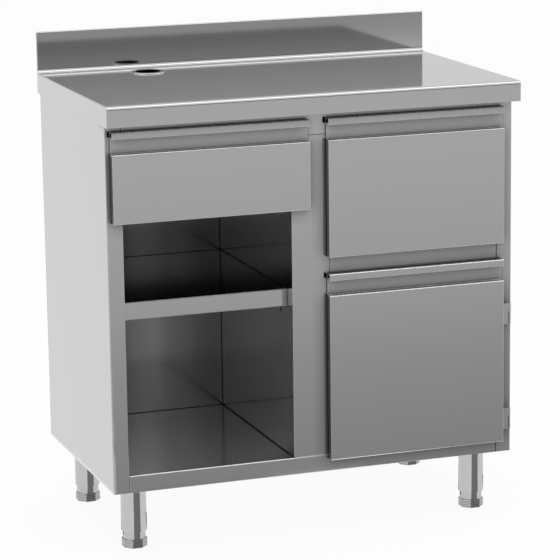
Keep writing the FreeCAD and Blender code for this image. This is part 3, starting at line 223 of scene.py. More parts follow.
@dataclass(frozen=True)
class BrushedStainless:
    """Stainless steel sheet, AISI 304, brushed with a fine belt: near-mirror reflections with a soft edge.

    Real brush lines are 0.1 mm apart, too fine to show, so line_spacing draws them coarser. The streaks are
    the belt's faint broad ones. Edges are shaded as rounded by edge_radius, and the cabinet's front corners
    by fold_radius. Level edges are deburred, so they are duller, and their colour is lightened towards white
    as a painted highlight. Painted shade darkens the colour where other faces are near: corner_reach and
    corner_power give how far and how strongly outside the cabinet, and inner_reach and inner_power inside
    it. A finish that is alone takes no painted shade from other pieces.
    """

    name: str
    colour: str = "#C2C2C2"
    # the colour that rounded level edges are lightened towards: a painted highlight
    painted_highlight_colour: str = "#FFFFFF"
    roughness: float = 0.08
    inner_roughness: float = 0.06
    edge_roughness: float = 0.5
    grain: Grain = Grain.ALONG_X
    line_spacing: float = 1.2 * MM
    line_depth: float = 0.02 * MM
    line_strength: float = 0.12
    streaks: float = 0.02
    streaks_per_metre: float = 22.0
    edge_radius: float = 2.0 * MM
    fold_radius: float = 2.0 * MM
    edge_shine: float = 1.0
    corner_reach: float = 40 * MM
    corner_power: float = 1.5
    inner_reach: float = 6 * MM
    inner_power: float = 3.5
    alone: bool = False

    def build(self) -> bpy.types.Material:
        """Build the finish from its brush lines, rounded edges with a painted highlight, inside zone and
        corners darkened by painted shade.

        Returns:
            The material.
        """
        material, tree = new_material(self.name)
        place = add_node(tree, "ShaderNodeTexCoord").outputs["Object"]
        axes = add_node(tree, "ShaderNodeSeparateXYZ", {}, {0: place})
        lines, streaked = self.brush(tree, place)
        normal, rounded = self.soften(tree, axes.outputs["X"])
        bump = add_node(tree, "ShaderNodeBump", {}, {
            "Height": lines, "Strength": self.line_strength, "Distance": self.line_depth, "Normal": normal})
        inside = add_node(tree, "ShaderNodeMapRange", {}, {
            "Value": axes.outputs["Y"], "From Min": INSIDE_START, "From Max": INSIDE_START + ZONE_BLEND,
        }).outputs["Result"]
        rough = add_node(tree, "ShaderNodeMath", {"operation": "MULTIPLY_ADD"}, {
            0: inside, 1: self.inner_roughness, 2: streaked})
        edge_rough = add_node(tree, "ShaderNodeMath", {"operation": "MULTIPLY_ADD"}, {
            0: rounded, 1: self.edge_roughness, 2: rough.outputs[0]})
        steel = add_node(tree, "ShaderNodeBsdfPrincipled", {}, {
            "Base Color": self.shade(tree, inside, rounded), "Metallic": 1.0,
            "Roughness": edge_rough.outputs[0], "Normal": bump.outputs["Normal"]})
        add_node(tree, "ShaderNodeOutputMaterial", {}, {"Surface": steel.outputs["BSDF"]})
        return material

    def brush(self, tree: bpy.types.NodeTree,
              place: bpy.types.NodeSocket) -> tuple[bpy.types.NodeSocket, bpy.types.NodeSocket]:
        """Draw the brush lines and the broad streaks, both stretched along the grain of the face they lie on.

        Args:
            tree: the finish's node tree.
            place: the place on the piece.

        Returns:
            The height of the lines, and the roughness with its streaks.
        """
        upright, level = (
            add_node(tree, "ShaderNodeMapping", {}, {"Vector": place, "Scale": scale}).outputs[0]
            for scale in self.grain.value)
        facing = add_node(tree, "ShaderNodeNewGeometry")
        parts = add_node(tree, "ShaderNodeSeparateXYZ", {}, {0: facing.outputs["Normal"]})
        rise = add_node(tree, "ShaderNodeMath", {"operation": "ABSOLUTE"}, {0: parts.outputs["Z"]})
        is_level = add_node(tree, "ShaderNodeMath", {"operation": "GREATER_THAN"}, {
            0: rise.outputs[0], 1: LEVEL_LIMIT})
        along = add_node(tree, "ShaderNodeMix", {"data_type": "VECTOR"}, {
            MixSocket.SHARE: is_level.outputs[0], MixSocket.VECTOR_A: upright, MixSocket.VECTOR_B: level,
        }).outputs[MixResult.VECTOR]
        lines = add_node(tree, "ShaderNodeTexNoise", {}, {
            "Vector": along, "Scale": 1 / self.line_spacing, "Detail": 2.0, "Roughness": 0.6})
        broad = add_node(tree, "ShaderNodeTexNoise", {}, {
            "Vector": along, "Scale": self.streaks_per_metre, "Detail": 3.0})
        mixed = add_node(tree, "ShaderNodeMath", {"operation": "ADD"}, {
            0: lines.outputs["Fac"], 1: broad.outputs["Fac"]})
        streaked = add_node(tree, "ShaderNodeMapRange", {}, {
            "Value": mixed.outputs[0], "From Min": NOISE_PAIR[0], "From Max": NOISE_PAIR[1],
            "To Min": self.roughness - self.streaks, "To Max": self.roughness + self.streaks})
        return lines.outputs["Fac"], streaked.outputs["Result"]

    def soften(self, tree: bpy.types.NodeTree,
               across: bpy.types.NodeSocket) -> tuple[bpy.types.NodeSocket, bpy.types.NodeSocket]:
        """Round the edges in the shading: by fold_radius at the cabinet's two sides, and else by edge_radius.

        Args:
            tree: the finish's node tree.
            across: the X coordinate on the piece.

        Returns:
            The softened normal, and how much of a point is rounded edge between upright and level faces.
        """
        distance = add_node(tree, "ShaderNodeMath", {"operation": "ABSOLUTE"}, {0: across})
        radius = add_node(tree, "ShaderNodeMapRange", {}, {
            "Value": distance.outputs[0], "From Min": FOLD_START, "From Max": FOLD_START + ZONE_BLEND,
            "To Min": self.edge_radius, "To Max": self.fold_radius})
        softened = add_node(tree, "ShaderNodeBevel", {"samples": 6}, {"Radius": radius.outputs["Result"]})
        parts = add_node(tree, "ShaderNodeSeparateXYZ", {}, {0: softened.outputs["Normal"]})
        rise = add_node(tree, "ShaderNodeMath", {"operation": "ABSOLUTE"}, {0: parts.outputs["Z"]})
        not_upright = add_node(tree, "ShaderNodeMapRange", {}, {
            "Value": rise.outputs[0], "From Min": LEAVES_UPRIGHT[0], "From Max": LEAVES_UPRIGHT[1],
            "To Max": self.edge_shine})
        not_level = add_node(tree, "ShaderNodeMapRange", {}, {
            "Value": rise.outputs[0], "From Min": REACHES_LEVEL[1], "From Max": REACHES_LEVEL[0]})
        rounded = add_node(tree, "ShaderNodeMath", {"operation": "MULTIPLY"}, {
            0: not_upright.outputs["Result"], 1: not_level.outputs["Result"]})
        return softened.outputs["Normal"], rounded.outputs[0]

    def shade(self, tree: bpy.types.NodeTree, inside: bpy.types.NodeSocket,
              rounded: bpy.types.NodeSocket) -> bpy.types.NodeSocket:
        """Colour the steel: a painted highlight on rounded edges, and painted shade where other faces are
        near.

        The painted shade multiplies the colour by the open share of a point's surroundings, raised to a
        power.

        Args:
            tree: the finish's node tree.
            inside: how much of a point is inside the cabinet.
            rounded: how much of a point is a rounded edge.

        Returns:
            The colour.
        """
        reach = add_node(tree, "ShaderNodeMapRange", {}, {
            "Value": inside, "To Min": self.corner_reach, "To Max": self.inner_reach})
        power = add_node(tree, "ShaderNodeMapRange", {}, {
            "Value": inside, "To Min": self.corner_power, "To Max": self.inner_power})
        # Painted shade: the colour darkens where other faces close round a point.
        open_share = add_node(tree, "ShaderNodeAmbientOcclusion", {"samples": 8, "only_local": self.alone}, {
            "Distance": reach.outputs["Result"]})
        light = add_node(tree, "ShaderNodeMath", {"operation": "POWER"}, {
            0: open_share.outputs["AO"], 1: power.outputs["Result"]})
        # Painted highlight: rounded edges take a lighter colour, white by default.
        edge_highlight = add_node(tree, "ShaderNodeMix", {"data_type": "RGBA"}, {
            MixSocket.SHARE: rounded, MixSocket.COLOUR_A: linear(self.colour),
            MixSocket.COLOUR_B: linear(self.painted_highlight_colour)})
        tone = add_node(tree, "ShaderNodeMix", {"data_type": "RGBA"}, {
            MixSocket.SHARE: light.outputs[0], MixSocket.COLOUR_A: linear("#000000"),
            MixSocket.COLOUR_B: edge_highlight.outputs[MixResult.COLOUR]})
        return tone.outputs[MixResult.COLOUR]


@dataclass(frozen=True)
class BrightTube:
    """Bright annealed and polished stainless steel: clear reflections with a trace of the polishing wheel."""

    name: str
    colour: str = "#CDCDCD"
    roughness: float = 0.06
    roughness_spread: tuple[float, float] = (0.7, 1.5)
    mark_spacing: float = 2.5 * MM

    def build(self) -> bpy.types.Material:
        """Build the finish: a low roughness that varies a little with a fine noise.

        Returns:
            The material.
        """
        material, tree = new_material(self.name)
        place = add_node(tree, "ShaderNodeTexCoord")
        marks = add_node(tree, "ShaderNodeTexNoise", {}, {
            "Vector": place.outputs["Object"], "Scale": 1 / self.mark_spacing, "Detail": 2.0})
        least, most = self.roughness_spread
        rough = add_node(tree, "ShaderNodeMapRange", {}, {
            "Value": marks.outputs["Fac"], "To Min": self.roughness * least, "To Max": self.roughness * most})
        steel = add_node(tree, "ShaderNodeBsdfPrincipled", {}, {
            "Base Color": linear(self.colour), "Metallic": 1.0, "Roughness": rough.outputs["Result"]})
        add_node(tree, "ShaderNodeOutputMaterial", {}, {"Surface": steel.outputs["BSDF"]})
        return material


@dataclass(frozen=True)
class ZincPlate:
    """Mild steel, zinc plated and clear passivated: a pale, slightly blue and slightly cloudy metal."""

    name: str
    colour: str = "#AEB2B8"
    cloud_colour: str = "#9DA1A8"
    roughness: tuple[float, float] = (0.26, 0.40)
    cloud_size: float = 9.0 * MM

    def build(self) -> bpy.types.Material:
        """Build the finish: two close tones, and a roughness, mixed by a soft cloud pattern.

        Returns:
            The material.
        """
        material, tree = new_material(self.name)
        place = add_node(tree, "ShaderNodeTexCoord")
        clouds = add_node(tree, "ShaderNodeTexNoise", {}, {
            "Vector": place.outputs["Object"], "Scale": 1 / self.cloud_size, "Detail": 4.0})
        tone = add_node(tree, "ShaderNodeMix", {"data_type": "RGBA"}, {
            MixSocket.SHARE: clouds.outputs["Fac"], MixSocket.COLOUR_A: linear(self.colour),
            MixSocket.COLOUR_B: linear(self.cloud_colour)})
        least, most = self.roughness
        rough = add_node(tree, "ShaderNodeMapRange", {}, {
            "Value": clouds.outputs["Fac"], "To Min": least, "To Max": most})
        steel = add_node(tree, "ShaderNodeBsdfPrincipled", {}, {
            "Base Color": tone.outputs[MixResult.COLOUR], "Metallic": 1.0,
            "Roughness": rough.outputs["Result"]})
        add_node(tree, "ShaderNodeOutputMaterial", {}, {"Surface": steel.outputs["BSDF"]})
        return material


@dataclass(frozen=True)
class MouldedPlastic:
    """An injection-moulded plastic or rubber: one colour, dull, with the fine grain of its mould."""

    name: str
    colour: str
    roughness: float = 0.45
    roughness_spread: float = 0.05
    grain_size: float = 0.8 * MM
    grain_depth: float = 0.03 * MM
    grain_strength: float = 0.3

    def build(self) -> bpy.types.Material:
        """Build the finish: a fine grain in its height and its sheen.

        Returns:
            The material.
        """
        material, tree = new_material(self.name)
        place = add_node(tree, "ShaderNodeTexCoord")
        grain = add_node(tree, "ShaderNodeTexNoise", {}, {
            "Vector": place.outputs["Object"], "Scale": 1 / self.grain_size, "Detail": 2.0})
        rough = add_node(tree, "ShaderNodeMapRange", {}, {
            "Value": grain.outputs["Fac"], "To Min": self.roughness - self.roughness_spread,
            "To Max": self.roughness + self.roughness_spread})
        bump = add_node(tree, "ShaderNodeBump", {}, {
            "Height": grain.outputs["Fac"], "Strength": self.grain_strength, "Distance": self.grain_depth})
        plastic = add_node(tree, "ShaderNodeBsdfPrincipled", {}, {
            "Base Color": linear(self.colour), "Roughness": rough.outputs["Result"],
            "Normal": bump.outputs["Normal"]})
        add_node(tree, "ShaderNodeOutputMaterial", {}, {"Surface": plastic.outputs["BSDF"]})
        return material


Finish = BrushedStainless | BrightTube | ZincPlate | MouldedPlastic

# Sheet brushed along its length: level lines on fronts and rails, so reflections smear up and down.
SHEET_LEVEL = BrushedStainless("brushed_304_sheet_level")
# The same sheet brushed upwards: upright lines on posts and partitions, so reflections smear sideways.
SHEET_UPRIGHT = BrushedStainless("brushed_304_sheet_upright", grain=Grain.ALONG_Z)
# Side sheet with a wide corner fold: the light side passes softly into the grey front.
SIDE_SHEET = BrushedStainless("brushed_304_side_sheet", grain=Grain.ALONG_Z, fold_radius=8.0 * MM)
# The same sheet brushed front to rear, on channels and box sides that only show when something is open.
SHEET_DEEP = BrushedStainless("brushed_304_sheet_front_to_rear", grain=Grain.ALONG_Y)
# Worktop sheet, polished a little finer: it mirrors the upstand clearly, and its bends keep crisp lines.
WORKTOP_SHEET = BrushedStainless("brushed_304_worktop_sheet", roughness=0.07, inner_roughness=0.0,
                                 edge_radius=0.4 * MM, fold_radius=0.4 * MM, edge_shine=0.0,
                                 inner_reach=8 * MM, inner_power=1.0)
# Shelf sheet with no painted shade line along its edges, where it only lies between its neighbours.
SHELF_SHEET = BrushedStainless("brushed_304_shelf_sheet", inner_power=1.0, inner_roughness=0.0, alone=True)
# Back sheet: a thin line of painted shade where the other sheets butt against it.
BACK_SHEET = BrushedStainless("brushed_304_back_sheet", grain=Grain.ALONG_Z, inner_reach=3 * MM,
                              inner_power=2.5)
# Hinge plates, punched and brushed: small edges, and painted shade darkening the gaps between the knuckles.
HINGE_STEEL = BrushedStainless("brushed_304_hinge", edge_radius=0.4 * MM, fold_radius=0.4 * MM,
                               corner_reach=6 * MM, corner_power=2.5)
# Turned feet: duller than the tubes, with painted shade darkening the grooves between crisp flats.
FOOT_STEEL = BrushedStainless("turned_304_foot", "#BCBCBC", roughness=0.12, inner_roughness=0.0,
                              edge_radius=0.4 * MM, fold_radius=0.4 * MM, edge_shine=0.0,
                              corner_reach=3 * MM, inner_reach=3 * MM, inner_power=1.5, alone=True)
# Polished tube and rim: clear, hard-edged bands of light and dark.
POLISHED = BrightTube("polished_304", "#C0C0C0")
# Zinc-plated screws, runners and plates: paler and duller than the stainless sheet round them.
ZINC = ZincPlate("zinc_plated_steel")
# Moulded ABS: near black with a low sheen.
BLACK_PLASTIC = MouldedPlastic("moulded_black_abs", "#1B1B1C", roughness=0.4)
# Moulded rubber: near black and almost without a sheen.
RUBBER = MouldedPlastic("moulded_black_rubber", "#242424", roughness=0.7)
# Smoothed silicone: dark grey, painted shade for the joint's gap, so a sealed joint reads as a soft dark
# line.
SEALANT_AND_SHADE = MouldedPlastic("grey_sealant_and_painted_shade", "#2E2E2E", roughness=0.55)


# ------------------------------------------------------------ mesh surfaces


def sweep(name: str, profile: np.ndarray, path: np.ndarray, across: np.ndarray,
          outward: np.ndarray) -> bpy.types.Mesh:
    """Sweep a profile along a path, with flat ends.

    With the profile's points (u_i, v_i) and the path's points P_j, the surface is
    S_ij = P_j + u_i * across + v_i * outward, a grid of quads closed round the profile.

    Args:
        name: the mesh's name.
        profile: points (u, v) of a closed outline, anticlockwise seen against the path.
        path: points of the path, one row each.
        across: the direction of u.
        outward: the direction of v.

    Returns:
        The mesh, with its normals outward.
    """
    offsets = profile[:, :1] * across + profile[:, 1:] * outward
    points = (path[:, None, :] + offsets[None, :, :]).reshape(-1, 3)
    rows, count = len(path), len(profile)
    start = (np.arange(rows - 1)[:, None] * count + np.arange(count)).ravel()
    following = (np.arange(rows - 1)[:, None] * count + (np.arange(count) + 1) % count).ravel()
    quads = np.column_stack([start, following, following + count, start + count])
    ends = [tuple(range(count - 1, -1, -1)), tuple(range((rows - 1) * count, rows * count))]
    mesh = bpy.data.meshes.new(name)
    mesh.from_pydata(points.tolist(), [], quads.tolist() + ends)
    return mesh


def bead_profile(width: float, height: float, count: int = 9) -> np.ndarray:
    """Outline a sealant bead on a flat face: (w/2 cos t, h sin t), t from 0 to pi, closed by the face.

    Args:
        width: the bead's width.
        height: how far it stands out.
        count: points on its round side.

    Returns:
        The outline's points, one row each.
    """
    turns = np.linspace(0.0, math.pi, count)
    return np.column_stack([width / 2 * np.cos(turns), height * np.sin(turns)])


# ------------------------------------------------------------ sub-assemblies


class Hand(Enum):
    """The side of the station that a drawer is on."""

    LEFT = "left"
    RIGHT = "right"


class Corner(Enum):
    """The corner of the cabinet that a leg stands at."""

    FRONT_LEFT = "front_left"
    FRONT_RIGHT = "front_right"
    REAR_LEFT = "rear_left"
    REAR_RIGHT = "rear_right"


@dataclass
class SubAssembly(ABC):
    """A group of the station's pieces that are made and finished together."""

    title: str = ""
    made: dict[str, bpy.types.Object] = field(default_factory=dict, init=False)

    @abstractmethod
    def finishes(self) -> dict[str, Finish]:
        """List the finish of every piece, by the piece's name."""

    def build(self) -> None:
        """Make the pieces that the CAD nodes don't have, which most groups do without."""

    def dress(self, wardrobe: dict[str, bpy.types.Material]) -> None:
        """Give every piece its finish.

        Args:
            wardrobe: the materials made so far, by finish name. New ones are added.
        """
        for name, finish in self.finishes().items():
            if finish.name not in wardrobe:
                wardrobe[finish.name] = finish.build()
            mesh = (self.made.get(name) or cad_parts[name]).data
            mesh.materials.clear()
            mesh.materials.append(wardrobe[finish.name])
            log.info("%s: %s in %s", self.title, name, finish.name)


@dataclass
class Worktop(SubAssembly):
    """The worktop with its upstand, stiffeners, screws and cable grommet."""

    title: str = "worktop"

    def finishes(self) -> dict[str, Finish]:
        """List the group's finishes.

        Returns:
            The finish of every piece, by the piece's name.
        """
        return {
            "worktop": WORKTOP_SHEET, "worktop_stiffeners": SHEET_LEVEL, "worktop_bolts": ZINC,
            "cable_grommet": POLISHED,
        }


@dataclass
class Cabinet(SubAssembly):
    """The folded cabinet with its shelf, brackets and catch, and the beads that seal its right-hand joints.

    Where a cross piece butts against the right-hand post, a thin bead of sealant closes the joint. Its dark
    grey is painted shade, standing in for the shade in the joint's gap. It shows under the door, and between
    the door and the drawer above it.
    """

    title: str = "cabinet"
    face: float = edge("side_panel_right", End.LOW, Axis.Y)
    joint: float = (edge("top_front_rail", End.HIGH, Axis.X) + edge("side_panel_right", End.LOW, Axis.X)) / 2
    seal_width: float = 2.2 * MM
    seal_height: float = 0.35 * MM
    seal_clearance: float = 0.5 * MM
    seal_steps: int = 6

    def seal_spans(self) -> tuple[tuple[float, float], ...]:
        """Work out from where to where each bead runs upwards.

        Returns:
            The lower and upper end of each bead.
        """
        gap = self.seal_clearance
        return (
            (edge("bottom_panel", End.LOW, Axis.Z) + gap, edge("door_front", End.LOW, Axis.Z) - gap),
            (edge("door_front", End.HIGH, Axis.Z) + gap, edge("right_drawer_front", End.LOW, Axis.Z) - gap),
        )

    def build(self) -> None:
        """Lay a bead up each joint of the right-hand post with a cross piece."""
        for number, (low, high) in enumerate(self.seal_spans(), start=1):
            path = np.column_stack([
                np.full(self.seal_steps, self.joint), np.full(self.seal_steps, self.face),
                np.linspace(low, high, self.seal_steps)])
            # A dark bead whose colour stands in for the shade in the joint's gap: painted shade.
            mesh = sweep(f"joint_seal_and_shade_{number}", bead_profile(self.seal_width, self.seal_height), path,
                         np.array([1.0, 0.0, 0.0]), np.array([0.0, -1.0, 0.0]))
            bead = add_object(mesh.name, mesh)
            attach(bead, "carcass")
            self.made[bead.name] = bead

    def finishes(self) -> dict[str, Finish]:
        """List the group's finishes.

        Returns:
            The finish of every piece, by the piece's name.
        """
        return {
            "side_panel_left": SIDE_SHEET, "side_panel_right": SHEET_UPRIGHT, "bottom_panel": SHEET_LEVEL,
            "back_panel": BACK_SHEET, "centre_divider": SHEET_UPRIGHT, "top_front_rail": SHEET_LEVEL,
            "drawer_door_rail": SHEET_LEVEL, "top_rear_rail": SHEET_LEVEL, "middle_shelf": SHELF_SHEET,
            "shelf_clips": SHEET_LEVEL, "left_runner_bracket": SHEET_DEEP,
            "right_runner_bracket": SHEET_DEEP, "magnetic_catch": BLACK_PLASTIC, "runner_screws": ZINC,
            **{name: SEALANT_AND_SHADE for name in self.made},
        }


@dataclass
class Drawer(SubAssembly):
    """A drawer: front with its lip, liner, box, screws, buffers and telescopic runners."""

    hand: Hand = Hand.LEFT

    def __post_init__(self) -> None:
        """Name the drawer after its side."""
        self.title = self.hand.value + " drawer"

    def finishes(self) -> dict[str, Finish]:
        """List the drawer's finishes.

        Returns:
            The finish of every piece, by the piece's name.
        """
        pieces = {
            "front": SHEET_LEVEL, "liner": SHEET_LEVEL, "box": SHEET_DEEP, "box_ends": SHEET_LEVEL,
            "screws": ZINC, "buffers": RUBBER, "outer_rails": ZINC, "middle_rails": ZINC,
            "inner_rails": ZINC,
        }
        return {f"{self.hand.value}_drawer_{piece}": finish for piece, finish in pieces.items()}


@dataclass
class Door(SubAssembly):
    """The door with its liner, buffers and catch plate, and its lift-off hinges."""

    title: str = "door"

    def finishes(self) -> dict[str, Finish]:
        """List the group's finishes.

        Returns:
            The finish of every piece, by the piece's name.
        """
        return {
            "door_front": SHEET_LEVEL, "door_liner": SHEET_LEVEL, "door_hinge_leaf_upper": HINGE_STEEL,
            "door_hinge_leaf_lower": HINGE_STEEL, "door_hinge_screws": ZINC, "door_buffers": RUBBER,
            "hinge_frame_knuckles": HINGE_STEEL, "hinge_pins": POLISHED, "hinge_frame_screws": ZINC,
            "door_catch_plate": ZINC,
        }


@dataclass
class Legs(SubAssembly):
    """The four legs with their feet, and the channels, plates, bolts and inserts that hold them."""

    title: str = "legs"

    def finishes(self) -> dict[str, Finish]:
        """List the group's finishes.

        Returns:
            The finish of every piece, by the piece's name.
        """
        return {
            "leg_channels": SHEET_DEEP, "leg_plates": ZINC, "leg_bolts": ZINC, "leg_inserts": BLACK_PLASTIC,
            **{"leg_" + corner.value: POLISHED for corner in Corner},
            **{"foot_" + corner.value: FOOT_STEEL for corner in Corner},
        }

    @staticmethod
    def centre(corner: Corner) -> tuple[float, float]:
        """Find the axis of a leg.

        Args:
            corner: the leg's corner.

        Returns:
            Its X and Y.
        """
        node = "leg_" + corner.value
        across, along = (
            (edge(node, End.LOW, axis) + edge(node, End.HIGH, axis)) / 2 for axis in (Axis.X, Axis.Y))
        return across, along


# ------------------------------------------------------------ studio


@dataclass
class Softbox:
    """A soft lamp: a glowing rectangle that faces a point."""

    name: str
    place: Point
    size: tuple[float, float]
    glow: float
    aim: Point

    def build(self) -> None:
        """Make the lamp. Its power gives every point of it the brightness `glow`, whatever its size."""
        lamp = bpy.data.lights.new(self.name, "AREA")
        lamp.shape = "RECTANGLE"
        lamp.size, lamp.size_y = self.size
        lamp.energy = self.glow * self.size[0] * self.size[1] * math.pi
        holder = add_object(self.name, lamp)
        holder.location = self.place
        towards = Vector(self.aim) - Vector(self.place)
        holder.rotation_euler = towards.to_track_quat("-Z", "Y").to_euler()
        holder.visible_camera = False
        holder.visible_glossy = False
        log.info("studio: %s", self.name)


@dataclass
class Card:
    """A grey card that only reflections show, to shade the metal as a studio's black flags do.

    The glow runs along one axis. A one-sided card glows only towards its normal and is clear from behind.
    From few_bounces to many_bounces on the metal, a ray comes to see the card brighter by deep_gain, which
    stands in for the light that brush lines scatter inside a box.
    """

    name: str
    corners: tuple[Point, ...]
    axis: Axis
    glow: Glow
    one_sided: bool = False
    strength: float = 1.0
    deep_gain: float = 1.0
    few_bounces: float = 3.0
    many_bounces: float = 5.0

    def build(self) -> None:
        """Make the card as one flat face, with its glow as a ramp over its own coordinates."""
        mesh = bpy.data.meshes.new(self.name)
        mesh.from_pydata(list(self.corners), [], [tuple(range(len(self.corners)))])
        mesh.materials.append(self.material())
        card = add_object(self.name, mesh)
        card.visible_camera = False
        card.visible_diffuse = False
        card.visible_shadow = False
        card.visible_transmission = False
        log.info("studio: %s", self.name)

    def material(self) -> bpy.types.Material:
        """Make the card's glow.

        Returns:
            The material.
        """
        first, last = self.glow[0][0], self.glow[-1][0]
        material, tree = new_material(self.name + "_card")
        place = add_node(tree, "ShaderNodeTexCoord")
        axes = add_node(tree, "ShaderNodeSeparateXYZ", {}, {0: place.outputs["Object"]})
        share = add_node(tree, "ShaderNodeMapRange", {}, {
            "Value": axes.outputs[self.axis], "From Min": first, "From Max": last})
        ramp = add_node(tree, "ShaderNodeValToRGB", {}, {0: share.outputs["Result"]})
        stops = ramp.color_ramp.elements
        while len(stops) < len(self.glow):
            stops.new(1.0)
        for stop, (where, level) in zip(stops, self.glow):
            stop.position = (where - first) / (last - first)
            stop.color = (level, level, level, 1.0)
        path = add_node(tree, "ShaderNodeLightPath")
        brightness = add_node(tree, "ShaderNodeMapRange", {}, {
            "Value": path.outputs["Glossy Depth"], "From Min": self.few_bounces,
            "From Max": self.many_bounces, "To Min": self.strength, "To Max": self.strength * self.deep_gain})
        surface = add_node(tree, "ShaderNodeEmission", {}, {
            "Color": ramp.outputs["Color"], "Strength": brightness.outputs["Result"]}).outputs[0]
        if self.one_sided:
            surface = clear_from_behind(tree, surface)
        add_node(tree, "ShaderNodeOutputMaterial", {}, {"Surface": surface})
        return material


@dataclass(frozen=True)
class Line:
    """A line from left to right across the scene, at one depth."""

    left: float
    right: float
    depth: float


def level_card(name: str, first: Line, second: Line, height: float, glow: Glow, axis: Axis = Axis.Y,
               **options: float | bool) -> Card:
    """Lay a card between two lines. It faces up where the first is the front one, and down otherwise.

    Args:
        name: the card's name.
        first: one edge of the card.
        second: the opposite edge.
        height: the card's height above the ground.
        glow: places and brightnesses along the axis.
        axis: the axis that the glow runs along.
        options: other fields of the card.

    Returns:
        The card.
    """
    corners = ((first.left, first.depth, height), (first.right, first.depth, height),
               (second.right, second.depth, height), (second.left, second.depth, height))
    return Card(name, corners, axis, glow, **options)


def upright_card(name: str, across: Line, low: float, high: float, glow: Glow, axis: Axis = Axis.Z,
                 **options: float | bool) -> Card:
    """Stand a one-sided card on a line. It glows towards the rear.

    Args:
        name: the card's name.
        across: the line that it stands on or over.
        low: its lower edge.
        high: its upper edge.
        glow: places and brightnesses along the axis.
        axis: the axis that the glow runs along.
        options: other fields of the card.

    Returns:
        The card.
    """
    corners = ((across.right, across.depth, low), (across.left, across.depth, low),
               (across.left, across.depth, high), (across.right, across.depth, high))
    return Card(name, corners, axis, glow, one_sided=True, **options)


@dataclass
class LegCards:
    """Dark cards round the legs, so that each tube shows one upright dark band between light ones.

    On the floor, a wedge opens forwards from each leg, and turns are the directions of its two edges: with a
    direction a degrees to the right of straight ahead, an edge runs from the tube by t * (sin a, -cos a). In
    front of each rear leg stands a card, which covers the light floor between the front legs. It reaches from
    the leg's axis to the left and right by stand_reach.
    """

    start: float = 28 * MM
    turns: tuple[float, float] = (-15.0, 43.0)
    front_length: float = 0.70
    rear_length: float = 0.29
    height_step: float = 0.4 * MM
    level: float = 0.26
    stand_depth: float = -0.10
    stand_reach: tuple[float, float] = (-0.094, 0.286)
    stand_span: tuple[float, float] = (0.001, 0.095)

    def cards(self) -> list[Card]:
        """List a wedge for each leg, and then the two standing cards.

        Returns:
            The cards.
        """
        low, high = self.stand_span
        wedges = [self.wedge(number, corner) for number, corner in enumerate(Corner, start=1)]
        standing = []
        for corner in (Corner.REAR_LEFT, Corner.REAR_RIGHT):
            left, right = (Legs.centre(corner)[0] + reach for reach in self.stand_reach)
            standing.append(upright_card(f"{corner.value}_leg_card", Line(left, right, self.stand_depth),
                                         low, high, ((low, self.level), (high, self.level))))
        return wedges + standing

    def wedge(self, number: int, corner: Corner) -> Card:
        """Lay a leg's wedge on the floor, a little higher for each leg so that no two lie in one plane.

        Args:
            number: the wedge's number.
            corner: the leg's corner.

        Returns:
            The card.
        """
        across, along = Legs.centre(corner)
        length = self.front_length if corner.value.startswith("front") else self.rear_length
        near = Line(across - self.start / 2, across + self.start / 2, along - self.start)
        left, right = (length * math.tan(math.radians(turn)) for turn in self.turns)
        far = Line(near.left + left, near.right + right, near.depth - length)
        return level_card(f"leg_card_{number}", far, near, self.height_step * number,
                          ((far.depth, self.level), (near.depth, self.level)))


